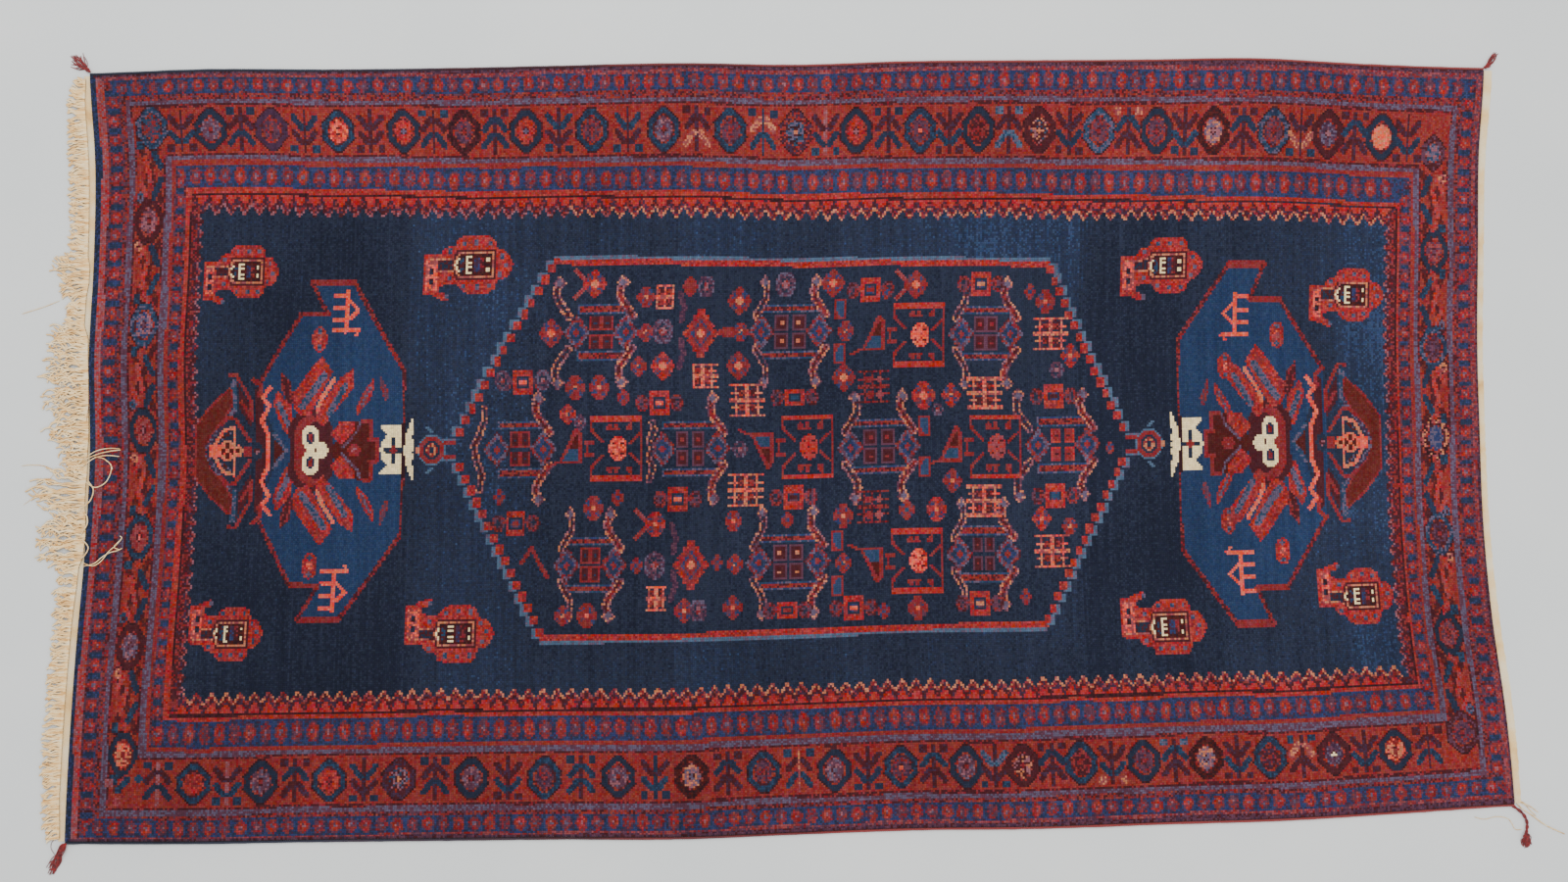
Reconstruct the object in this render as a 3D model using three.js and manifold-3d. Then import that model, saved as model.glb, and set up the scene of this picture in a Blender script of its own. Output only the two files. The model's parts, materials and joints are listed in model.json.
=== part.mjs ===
// A hand-knotted Persian village rug, lying flat. It is a wool pile cloth with a wool-wrapped
// selvedge cord down each long side, a plain-woven cotton strip at each short end, warp fringe
// past the left strip, two loose warp ends past the right one, and the tails of the selvedge
// yarns at the four corners.
// Millimetres. +X runs along the rug, +Y across it and +Z up. The origin is in the middle of
// the underside of the pile cloth, and every piece rests on z = 0.
import * as THREE from "three";
import { mergeVertices } from "three/addons/utils/BufferGeometryUtils.js";
import Module from "manifold-3d";

const wasm = await Module();
wasm.setup();

// ---- Driving dimensions ----

const LENGTH = 2424;
const WIDTH = 1320;
const THICKNESS = 8; // foundation and pile together
const SHOULDER = 2.5; // the pile's rounded rim: in from the edge, and down from the top
const RIPPLE = 0.5; // how far the top rises and falls
const CELLS = { along: 35, across: 19, up: 2 };

const SELVEDGE = 5; // across the wrapped side cord
const GAP = 0.3; // between one piece and the next
const SIDE_INSET = (SELVEDGE + GAP) / WIDTH; // the pile's long edges, as a share of the width

const STRIP_HEIGHT = 1.8; // the plain-woven ends
const STRAND_HEIGHT = 2.4;
const STRANDS = 150;
const STRAND_WIDTH = { root: 5.4, tip: 3.6 };
const ROOT_DEPTH = 3; // how far a strand's root runs into its strip

// How far each edge strays outwards from a straight-sided rug, at even steps: from left to
// right on the long edges, and from near to far on the short ones.
const STRAY = {
  far: [-6, 0, -2, -1, 2, 5, 1, 6, 6, 6, 7, -5, -13],
  near: [1, 5, 6, 8, 10, 14, 10, 7, 9, 6, 4, -4, -13],
  left: [30, 24, 14, 1, -6, -3, -10, -11, 0],
  right: [14, 5, -12, -21, -21, -19, -11, -3, 13],
};

// The plain-woven strips' widths, by their place from the near side (0) to the far side (1).
const LEFT_STRIP = [
  { at: 0, width: 12 },
  { at: 0.06, width: 17 },
  { at: 0.6, width: 18 },
  { at: 0.95, width: 16 },
  { at: 1, width: 10 },
];
const RIGHT_STRIP = [
  { at: 0, width: 13 },
  { at: 0.15, width: 15 },
  { at: 0.5, width: 11 },
  { at: 0.8, width: 12 },
  { at: 1, width: 16 },
];

// The fringe past the left end: how far its tips lie from the pile, and how far they have
// swung towards the far side.
const FRINGE = [
  { at: 0, reach: 30, swing: -9 },
  { at: 0.04, reach: 43, swing: -9 },
  { at: 0.14, reach: 49, swing: -6 },
  { at: 0.27, reach: 45, swing: -3 },
  { at: 0.35, reach: 49, swing: 1 },
  { at: 0.37, reach: 84, swing: 2 },
  { at: 0.395, reach: 93, swing: 5 },
  { at: 0.415, reach: 62, swing: 7 },
  { at: 0.435, reach: 101, swing: 9 },
  { at: 0.455, reach: 106, swing: 10 },
  { at: 0.475, reach: 46, swing: 4 },
  { at: 0.5, reach: 52, swing: 2 },
  { at: 0.53, reach: 78, swing: -3 },
  { at: 0.6, reach: 79, swing: 2 },
  { at: 0.645, reach: 74, swing: 8 },
  { at: 0.67, reach: 46, swing: 3 },
  { at: 0.7, reach: 44, swing: -5 },
  { at: 0.725, reach: 66, swing: 1 },
  { at: 0.74, reach: 82, swing: 9 },
  { at: 0.76, reach: 46, swing: 6 },
  { at: 0.9, reach: 48, swing: -3 },
  { at: 0.96, reach: 43, swing: 2 },
  { at: 1, reach: 22, swing: 6 },
];

// ---- The plan of the rug ----

const clamp01 = (t) => Math.min(Math.max(t, 0), 1);

const strayCurves = Object.fromEntries(
  Object.entries(STRAY).map(([side, values]) => [
    side,
    new THREE.SplineCurve(values.map((value, i) => new THREE.Vector2(i, value))),
  ]),
);
const strayAt = (side, t) => strayCurves[side].getPoint(clamp01(t)).y;

const edge = {
  far: (u) => WIDTH / 2 + strayAt("far", u),
  near: (u) => -WIDTH / 2 - strayAt("near", u),
  left: (v) => -LENGTH / 2 - strayAt("left", v),
  right: (v) => LENGTH / 2 + strayAt("right", v),
};

// A point of the rug from u (0 at the left end, 1 at the right) and v (0 on the near side, 1 on
// the far side). Its four edges blend into each other across the cloth.
function planPoint(u, v) {
  const lerp = THREE.MathUtils.lerp;
  const x = lerp(edge.left(v), edge.right(v), u);
  const y = lerp(edge.near(u), edge.far(u), v);
  return new THREE.Vector2(x, y);
}

// A value from a table's column, eased between its rows.
function tableAt(table, column, at) {
  const next = Math.max(1, table.findIndex((row) => row.at >= at));
  const [low, high] = [table[next - 1], table[next]];
  const ease = THREE.MathUtils.smoothstep(at, low.at, high.at);
  return THREE.MathUtils.lerp(low[column], high[column], ease);
}

// An even, repeatable scatter between -1 and 1.
const scatter = (i, turn) => Math.sin(i * turn + 0.7 * Math.sin(i * 1.3));

// ---- Solids ----

function closedSolid(geometry) {
  const bare = geometry.clone();
  bare.deleteAttribute("normal");
  bare.deleteAttribute("uv");
  const merged = mergeVertices(bare, 1e-4);
  return new wasm.Manifold(
    new wasm.Mesh({
      numProp: 3,
      vertProperties: new Float32Array(merged.attributes.position.array),
      triVerts: new Uint32Array(merged.index.array),
    }),
  );
}

// Several overlapping geometries made into one closed one.
function joined(geometries) {
  const whole = geometries.map(closedSolid).reduce((sum, solid) => sum.add(solid));
  const mesh = whole.getMesh();
  const geometry = new THREE.BufferGeometry();
  geometry.setAttribute("position", new THREE.BufferAttribute(mesh.vertProperties, 3));
  geometry.setIndex(new THREE.BufferAttribute(mesh.triVerts, 1));
  geometry.computeVertexNormals();
  return geometry;
}

// A level slab of the given outline, standing on z = 0.
function slab(outline, height) {
  return new THREE.ExtrudeGeometry(new THREE.Shape(outline), {
    depth: height,
    bevelEnabled: false,
  });
}

// A strand that lies level: a four-sided yarn along a curve in plan, thinner at its tip.
function strand(points, width, height, steps) {
  const curve = new THREE.SplineCurve(points);
  const left = [];
  const right = [];
  for (let i = 0; i <= steps; i++) {
    const t = i / steps;
    const half = THREE.MathUtils.lerp(width.root, width.tip, t) / 2;
    const centre = curve.getPoint(t);
    const along = curve.getTangent(t);
    const side = new THREE.Vector2(-along.y, along.x).multiplyScalar(half);
    left.push(centre.clone().add(side));
    right.unshift(centre.clone().sub(side));
  }
  return slab([...right, ...left], height);
}

// A two-ply twisted cord lying on the floor along a curve in plan.
function twistedCord(points, radius, turns) {
  const STEPS = 22;
  const SIDES = 10;
  const PLY = 0.22; // how deep the groove between the plies is, as a share of the radius
  const curve = new THREE.SplineCurve(points);
  const cord = new THREE.CylinderGeometry(1, 1, 1, SIDES, STEPS);
  const corners = cord.attributes.position;
  for (let i = 0; i < corners.count; i++) {
    const t = corners.getY(i) + 0.5;
    const angle = Math.atan2(corners.getZ(i), corners.getX(i));
    const onAxis = Math.hypot(corners.getX(i), corners.getZ(i)) < 0.5;
    const lobe = 1 - PLY * Math.cos(angle - turns * t * Math.PI * 2) ** 2;
    const reach = onAxis ? 0 : radius * lobe;
    const centre = curve.getPoint(t);
    const along = curve.getTangent(t);
    const side = new THREE.Vector2(-along.y, along.x).multiplyScalar(-reach * Math.cos(angle));
    const place = centre.add(side);
    corners.setXYZ(i, place.x, place.y, Math.max(0, radius + reach * Math.sin(angle)));
  }
  return cord;
}

const root = new THREE.Group();

function addPiece(name, geometry, color, roughness) {
  const material = new THREE.MeshStandardMaterial({ color, roughness, metalness: 0 });
  const mesh = new THREE.Mesh(geometry, material);
  mesh.name = name;
  root.add(mesh);
}

const COLORS = {
  navy: 0x1f2c4d,
  red: 0x9c2c30,
  ivory: 0xe2d0ab,
};
const WOOL_ROUGHNESS = 0.95;
const COTTON_ROUGHNESS = 0.9;

// ---- The pile cloth ----

// A box of even cells is bent to the rug's plan. Its rim rounds over at the top, and its top
// rises and falls a little, as a rug does that has lain rolled.
function pileCloth() {
  const box = new THREE.BoxGeometry(1, 1, 1, CELLS.along, CELLS.across, CELLS.up);
  const corners = box.attributes.position;
  for (let i = 0; i < corners.count; i++) {
    const u = corners.getX(i) + 0.5;
    const v = THREE.MathUtils.lerp(SIDE_INSET, 1 - SIDE_INSET, corners.getY(i) + 0.5);
    const level = corners.getZ(i) + 0.5;
    const place = planPoint(u, v);
    let z = level * (THICKNESS - SHOULDER) * 2;
    if (level === 1) {
      const ripple = Math.sin(place.x / 190 + place.y / 420) * Math.cos(place.y / 260);
      z = THICKNESS + RIPPLE * ripple;
      place.x -= Math.sign(corners.getX(i)) * SHOULDER * (Math.abs(corners.getX(i)) === 0.5);
      place.y -= Math.sign(corners.getY(i)) * SHOULDER * (Math.abs(corners.getY(i)) === 0.5);
    }
    corners.setXYZ(i, place.x, place.y, z);
  }
  return box;
}

addPiece("rug_body", pileCloth(), COLORS.navy, WOOL_ROUGHNESS);

// ---- The selvedges ----

// The side cord: wool wrapped round the outermost warps, along one whole long edge.
function selvedge(side) {
  const SIDES = 8;
  const acrossAt = SELVEDGE / 2 / WIDTH;
  const v = side === "far" ? 1 - acrossAt : acrossAt;
  const cord = new THREE.CylinderGeometry(1, 1, 1, SIDES, CELLS.along);
  const corners = cord.attributes.position;
  for (let i = 0; i < corners.count; i++) {
    const centre = planPoint(corners.getY(i) + 0.5, v);
    const y = centre.y - (corners.getX(i) * SELVEDGE) / 2;
    const z = ((1 + corners.getZ(i)) * SELVEDGE) / 2;
    corners.setXYZ(i, centre.x, y, z);
  }
  return cord;
}

addPiece("selvedge_far", selvedge("far"), COLORS.red, WOOL_ROUGHNESS);
addPiece("selvedge_near", selvedge("near"), COLORS.red, WOOL_ROUGHNESS);

// ---- The plain-woven ends and their fringes ----

// The strip runs from its pile edge out to its own width, cell by cell with the pile.
function stripOutline(end, widths) {
  const outwards = end === "left" ? -1 : 1;
  const inner = [];
  const outer = [];
  for (let i = 0; i <= CELLS.across; i++) {
    const v = THREE.MathUtils.lerp(SIDE_INSET, 1 - SIDE_INSET, i / CELLS.across);
    const { x, y } = planPoint(end === "left" ? 0 : 1, v);
    inner.push(new THREE.Vector2(x + outwards * GAP, y));
    outer.unshift(new THREE.Vector2(x + outwards * (GAP + tableAt(widths, "width", v)), y));
  }
  return [...inner, ...outer];
}

function leftEnd() {
  const STEPS = 4;
  const pieces = [slab(stripOutline("left", LEFT_STRIP), STRIP_HEIGHT)];
  for (let i = 0; i < STRANDS; i++) {
    const v = THREE.MathUtils.lerp(0.01, 0.99, (i + 0.5) / STRANDS);
    const edgePoint = planPoint(0, v);
    const rootReach = tableAt(LEFT_STRIP, "width", v) - ROOT_DEPTH;
    const tipReach = tableAt(FRINGE, "reach", v) + 3 * scatter(i, 2.1);
    const swing = tableAt(FRINGE, "swing", v) + 0.5 * scatter(i, 3.7);
    const points = [0, 0.35, 0.7, 1].map((t) => {
      const reach = THREE.MathUtils.lerp(rootReach, tipReach, t);
      const bend = swing * t * t + 0.8 * Math.sin(t * 5 + v * 60) * t;
      return new THREE.Vector2(edgePoint.x - reach, edgePoint.y + bend);
    });
    pieces.push(strand(points, STRAND_WIDTH, STRAND_HEIGHT, STEPS));
  }
  return joined(pieces);
}

addPiece("fringe_left", leftEnd(), COLORS.ivory, COTTON_ROUGHNESS);

// The right strip's warp loops are cut short, and only two ends hang loose at its near corner,
// while its far corner ends in a short tail.
const RIGHT_ENDS = [
  {
    name: "long loose end",
    width: { root: 3.4, tip: 1.6 },
    points: [[1232, -640], [1240, -651], [1256, -662], [1280, -680], [1313, -696]],
  },
  {
    name: "frayed end",
    width: { root: 5, tip: 2.4 },
    points: [[1236, -630], [1246, -645], [1256, -655], [1264, -664]],
  },
  {
    name: "far tail",
    width: { root: 11, tip: 3 },
    points: [[1236, 628], [1245, 644], [1254, 655], [1262, 667]],
  },
];

function rightEnd() {
  const STEPS = 6;
  const pieces = [slab(stripOutline("right", RIGHT_STRIP), STRIP_HEIGHT)];
  for (const { width, points } of RIGHT_ENDS) {
    const route = points.map(([x, y]) => new THREE.Vector2(x, y));
    pieces.push(strand(route, width, STRAND_HEIGHT, STEPS));
  }
  return joined(pieces);
}

addPiece("fringe_right", rightEnd(), COLORS.ivory, COTTON_ROUGHNESS);

// ---- The corner tails ----

// Each tail is a tied head with its wool ends fanning out of it.
const TAILS = [
  {
    name: "tail_far_left",
    head: { x: -1217, y: 661, radius: 3.5, height: 4 },
    locks: [
      { width: { root: 3, tip: 1.4 }, points: [[-1217, 661], [-1226, 668], [-1235, 678]] },
      { width: { root: 3, tip: 1.4 }, points: [[-1217, 661], [-1220, 671], [-1225, 684]] },
      { width: { root: 3, tip: 1.6 }, points: [[-1217, 661], [-1214, 670], [-1213, 682]] },
      { width: { root: 3, tip: 1.4 }, points: [[-1217, 661], [-1228, 661], [-1239, 665]] },
    ],
  },
  {
    name: "tail_near_left",
    head: { x: -1247, y: -668, radius: 6.5, height: 6 },
    locks: [
      { width: { root: 7, tip: 2.2 }, points: [[-1248, -668], [-1258, -686], [-1270, -706]] },
      { width: { root: 7, tip: 2.2 }, points: [[-1246, -669], [-1252, -688], [-1263, -711]] },
      { width: { root: 6, tip: 2.2 }, points: [[-1244, -669], [-1247, -687], [-1254, -705]] },
      { width: { root: 4, tip: 1.8 }, points: [[-1250, -667], [-1262, -678], [-1273, -695]] },
    ],
  },
  {
    name: "tail_near_right",
    head: { x: 1244, y: -697, radius: 5.5, height: 5.5 },
    cord: {
      radius: 2.9,
      turns: 1.6,
      points: [[1229.5, -648.5], [1240, -659], [1247, -674], [1246, -688], [1244, -698]],
    },
    locks: [
      { width: { root: 5, tip: 2.6 }, points: [[1242, -697], [1239, -704], [1235, -712]] },
      { width: { root: 5, tip: 2.6 }, points: [[1244, -698], [1243, -706], [1242, -715]] },
      { width: { root: 5, tip: 2.6 }, points: [[1246, -698], [1248, -706], [1249, -715]] },
      { width: { root: 5, tip: 2.6 }, points: [[1247, -697], [1252, -703], [1256, -711]] },
    ],
  },
  {
    name: "tail_far_right",
    head: { x: 1232.5, y: 650.5, radius: 3.6, height: 4 },
    locks: [
      { width: { root: 4.4, tip: 1.6 }, points: [[1232, 651], [1241, 661], [1252, 670]] },
      { width: { root: 3.4, tip: 1.4 }, points: [[1232, 651], [1237, 663], [1244, 673]] },
    ],
  },
];

function tail({ head, cord, locks }) {
  const HEAD_SIDES = 10;
  const LOCK_STEPS = 4;
  const tied = new THREE.CylinderGeometry(head.radius * 0.8, head.radius, head.height, HEAD_SIDES);
  tied.rotateX(Math.PI / 2);
  tied.translate(head.x, head.y, head.height / 2);
  const pieces = [tied];
  if (cord) {
    const route = cord.points.map(([x, y]) => new THREE.Vector2(x, y));
    pieces.push(twistedCord(route, cord.radius, cord.turns));
  }
  for (const { width, points } of locks) {
    const route = points.map(([x, y]) => new THREE.Vector2(x, y));
    pieces.push(strand(route, width, STRAND_HEIGHT, LOCK_STEPS));
  }
  return joined(pieces);
}

for (const row of TAILS) {
  addPiece(row.name, tail(row), COLORS.red, WOOL_ROUGHNESS);
}

export default root;
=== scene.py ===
"""A hand-knotted Persian village rug lying flat on a pale floor, knotted from its own chart.

The chart gives each knot of the pile its yarn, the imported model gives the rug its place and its
outline, and every piece of yarn that shows is modelled: side cords, woven ends, fringe and tails.
"""
import json
import math

import bmesh
import bpy
import numpy as np
from bpy.props import FloatProperty, FloatVectorProperty, IntProperty, PointerProperty
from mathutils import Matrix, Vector

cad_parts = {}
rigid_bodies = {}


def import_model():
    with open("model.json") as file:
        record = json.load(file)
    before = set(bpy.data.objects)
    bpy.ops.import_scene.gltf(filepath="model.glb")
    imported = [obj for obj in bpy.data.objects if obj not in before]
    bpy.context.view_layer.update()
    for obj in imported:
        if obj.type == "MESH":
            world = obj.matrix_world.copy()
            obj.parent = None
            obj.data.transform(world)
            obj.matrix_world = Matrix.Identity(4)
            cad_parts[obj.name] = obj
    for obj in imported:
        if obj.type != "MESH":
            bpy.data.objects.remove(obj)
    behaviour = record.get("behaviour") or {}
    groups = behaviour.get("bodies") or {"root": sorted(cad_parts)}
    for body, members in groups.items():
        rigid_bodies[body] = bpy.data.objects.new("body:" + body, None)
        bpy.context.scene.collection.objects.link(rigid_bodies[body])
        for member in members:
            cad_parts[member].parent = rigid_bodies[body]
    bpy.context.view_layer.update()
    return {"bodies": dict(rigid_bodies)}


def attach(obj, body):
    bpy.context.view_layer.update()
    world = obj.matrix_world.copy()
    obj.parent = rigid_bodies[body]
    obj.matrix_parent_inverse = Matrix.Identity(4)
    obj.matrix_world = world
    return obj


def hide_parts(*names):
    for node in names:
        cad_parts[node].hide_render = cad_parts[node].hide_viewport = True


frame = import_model()

bl_info = {
    "name": "Village Rug",
    "version": (1, 0, 0),
    "blender": (4, 5, 0),
    "location": "3D View > Sidebar > Rug",
    "description": "Knots, binds and fringes a Persian village rug round its packed model",
    "category": "Add Mesh",
}

(BODY,) = frame["bodies"]
MM = 0.001

# ---- The plan of the rug, in millimetres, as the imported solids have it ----

LENGTH = 2424
WIDTH = 1320
THICKNESS = 8
SELVEDGE = 5
# The slit between the pile and what is bound to it.
GAP = 0.3
SIDE_INSET = (SELVEDGE + GAP) / WIDTH

# How far each edge strays outwards from a straight-sided rug, at even steps: from left to
# right on the long edges, and from near to far on the short ones.
STRAY = {
    "far": (-6, 0, -2, -1, 2, 5, 1, 6, 6, 6, 7, -5, -13),
    "near": (1, 5, 6, 8, 10, 14, 10, 7, 9, 6, 4, -4, -13),
    "left": (30, 24, 14, 1, -6, -3, -10, -11, 0),
    "right": (14, 5, -12, -21, -21, -19, -11, -3, 13),
}

# The woven ends' widths by their place from the near side (0) to the far side (1).
LEFT_WEAVE = ((0, 12), (0.06, 17), (0.6, 18), (0.95, 16), (1, 10))
RIGHT_WEAVE = ((0, 13), (0.15, 15), (0.5, 11), (0.8, 12), (1, 16))

# The fringe by its place: how far its tips lie from the pile, their swing towards the far side,
# and how tangled its yarns are, from 0 for combed to 1.
FRINGE = (
    (0, 30, -9, 0.15), (0.04, 43, -9, 0.25), (0.14, 49, -6, 0.25), (0.27, 45, -3, 0.3), (0.35, 49, 1, 0.5),
    (0.37, 84, 2, 0.9), (0.395, 93, 5, 1), (0.415, 62, 7, 0.9), (0.435, 101, 9, 0.7), (0.455, 106, 10, 0.7),
    (0.475, 46, 4, 0.8), (0.5, 52, 2, 0.8), (0.53, 78, -3, 0.9), (0.6, 79, 2, 1), (0.645, 74, 8, 0.9),
    (0.67, 46, 3, 0.4), (0.7, 44, -5, 0.4), (0.725, 66, 1, 0.6), (0.74, 82, 9, 0.6), (0.76, 46, 6, 0.35),
    (0.9, 48, -3, 0.25), (0.96, 43, 2, 0.25), (1, 22, 6, 0.2),
)


def curve_between(before, start, end, after, t):
    """A point on a smooth curve from start to end, which takes its slopes from the points past them."""
    rise, fall = (end - before) / 2, (after - start) / 2
    cube = 2 * start - 2 * end + rise + fall
    square = 3 * end - 3 * start - 2 * rise - fall
    return cube * t**3 + square * t**2 + rise * t + start


def stray_at(side, share):
    """How far an edge strays, on a smooth curve through its even steps."""
    steps = np.array(STRAY[side], float)
    place = np.clip(share, 0, 1) * (len(steps) - 1)
    low = np.minimum(np.floor(place).astype(int), len(steps) - 2)
    around = [steps[np.clip(low + k, 0, len(steps) - 1)] for k in (-1, 0, 1, 2)]
    return curve_between(*around, place - low)


def plan_point(u, v):
    """A point of the rug in metres from u, left to right, and v, near to far."""
    u, v = np.asarray(u, float), np.asarray(v, float)
    left = -LENGTH / 2 - stray_at("left", v)
    right = LENGTH / 2 + stray_at("right", v)
    near = -WIDTH / 2 - stray_at("near", u)
    far = WIDTH / 2 + stray_at("far", u)
    return (left + (right - left) * u) * MM, (near + (far - near) * v) * MM


def eased(table, column, at):
    """A column of a table, eased between its rows."""
    places = np.array([row[0] for row in table])
    values = np.array([row[column] for row in table], float)
    low = np.clip(np.searchsorted(places, at) - 1, 0, len(table) - 2)
    t = np.clip((at - places[low]) / (places[low + 1] - places[low]), 0, 1)
    return values[low] + (values[low + 1] - values[low]) * t * t * (3 - 2 * t)


def pile_level(x, y):
    """How high the pile's top stands over a place, in metres: it rises and falls as it has lain rolled."""
    x, y = x / MM, y / MM
    ripple = 0.5 * np.sin(x / 190 + y / 420) * np.cos(y / 260)
    creases = 0.35 * np.sin(x / 47 + 1.3 * np.sin(y / 300)) * np.sin(y / 210 + 1)
    return (THICKNESS + ripple + creases) * MM


# ---- Small tools ----


def linear(code):
    """An sRGB hex colour as linear red, green and blue."""
    channels = [int(code[k:k + 2], 16) / 255 for k in (1, 3, 5)]
    return tuple(c / 12.92 if c <= 0.04045 else ((c + 0.055) / 1.055) ** 2.4 for c in channels)


def dye(name, code, description):
    """A colour setting, with an sRGB hex code as its default."""
    return FloatVectorProperty(name=name, description=description, subtype="COLOR", size=3, min=0, max=1,
                               default=linear(code))


def node(tree, kind, stops=None, **settings):
    """Adds a shader node: its settings are set, and its sockets are set or linked.
    A socket goes by its name, with _ for a space, or by i and its number."""
    new = tree.nodes.new("ShaderNode" + kind)
    if stops:
        elements = new.color_ramp.elements
        while len(elements) < len(stops):
            elements.new(1)
        for element, (place, colour) in zip(elements, stops):
            element.position = place
            element.color = (*colour, 1)
    for key, value in settings.items():
        if hasattr(new, key):
            setattr(new, key, value)
            continue
        socket = new.inputs[int(key[1:]) if key[1:].isdigit() else key.replace("_", " ")]
        if isinstance(value, bpy.types.NodeSocket):
            tree.links.new(value, socket)
        else:
            socket.default_value = value
    return new


def new_material(name):
    """A node material and its tree."""
    material = bpy.data.materials.new(name)
    material.use_nodes = True
    return material, material.node_tree


def finish_fibre(material, colour, relief, roughness, **sockets):
    """Gives a matt fibre its colour and relief, and sets what else its shader needs."""
    tree = material.node_tree
    shader = tree.nodes["Principled BSDF"]
    tree.links.new(colour, shader.inputs["Base Color"])
    tree.links.new(relief, shader.inputs["Normal"])
    shader.inputs["Roughness"].default_value = roughness
    for name, value in sockets.items():
        shader.inputs[name.replace("_", " ")].default_value = value
    return material


def new_object(name, data):
    """An object of the scene, at its origin."""
    made = bpy.data.objects.new(name, data)
    bpy.context.scene.collection.objects.link(made)
    return made


def mesh_of(name, bm):
    """The mesh that a bmesh holds, which is freed."""
    mesh = bpy.data.meshes.new(name)
    bm.to_mesh(mesh)
    bm.free()
    return mesh


def place_piece(piece, materials, nodes):
    """Dresses a finished piece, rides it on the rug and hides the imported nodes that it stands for."""
    piece.data.materials.clear()
    for material in materials:
        piece.data.materials.append(material)
    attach(piece, BODY)
    if nodes:
        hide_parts(*nodes)
    return piece


def yarn_piece(name, yarns, material, nodes=()):
    """Lays yarns along their routes as one mesh. A yarn is its points and its radius at each, in metres."""
    curve = bpy.data.curves.new(name, "CURVE")
    curve.dimensions = "3D"
    curve.bevel_depth = 1
    curve.bevel_resolution = 1
    curve.use_fill_caps = True
    for points, radii in yarns:
        spline = curve.splines.new("POLY")
        spline.points.add(len(points) - 1)
        flat = np.column_stack([points, np.ones(len(points))]).ravel()
        spline.points.foreach_set("co", flat)
        spline.points.foreach_set("radius", radii)
    shape = bpy.data.objects.new(name + "_routes", curve)
    mesh = bpy.data.meshes.new_from_object(shape)
    mesh.name = name
    bpy.data.objects.remove(shape)
    bpy.data.curves.remove(curve)
    for polygon in mesh.polygons:
        polygon.use_smooth = True
    place_piece(new_object(name, mesh), [material], nodes)


def smooth_route(points, count):
    """Even points on a smooth curve through a few given points."""
    points = np.array(points, float)
    ends = np.vstack([2 * points[0] - points[1], points, 2 * points[-1] - points[-2]])
    place = np.linspace(0, len(points) - 1, count)
    low = np.minimum(place.astype(int), len(points) - 2)
    return curve_between(*(ends[low + k] for k in range(4)), (place - low)[:, None])


# ---- The knot chart ----

KNOTS_ALONG = 700
KNOTS_ACROSS = 376

# The yarns of the pile. The chart holds their places in this row.
YARNS = ("night navy indigo blue pendant guard sky slate teal red scarlet coral brick peach "
         "orange cream maroon brown mauve rose soot plum ember").split()
(
    NIGHT, NAVY, INDIGO, BLUE, PENDANT, GUARD, SKY, SLATE, TEAL, RED, SCARLET, CORAL, BRICK, PEACH,
    ORANGE, CREAM, MAROON, BROWN, MAUVE, ROSE, SOOT, PLUM, EMBER,
) = range(len(YARNS))

# A mixed patch of wool takes its yarns knot by knot from here. Mixes of up to six yarns come out even.
SPECKLE = np.random.default_rng(23).integers(0, 60, (KNOTS_ALONG, KNOTS_ACROSS))


class Draft:
    """The knot chart or one strip of it: x counts knots along it and y counts them across."""

    def __init__(self, knots, x, y, inside=True):
        self.knots, self.x, self.y = knots, x, y
        self.inside = np.broadcast_to(inside, knots.shape)
        self.speckle = SPECKLE if knots.shape == SPECKLE.shape else SPECKLE.T

    def at(self, x, y, wide=1.0, tall=1.0):
        """A place to knot a motif, stretched or, with a minus, turned over."""
        return Spot(self, x, y, wide, tall)

    def tie(self, yarns, rows, columns):
        """Ties one yarn on the knots, or a mix of several."""
        yarns = np.atleast_1d(yarns)
        self.knots[rows, columns] = yarns[self.speckle[rows, columns] % len(yarns)]

    def fill(self, yarns):
        self.tie(yarns, *np.nonzero(self.inside))


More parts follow.
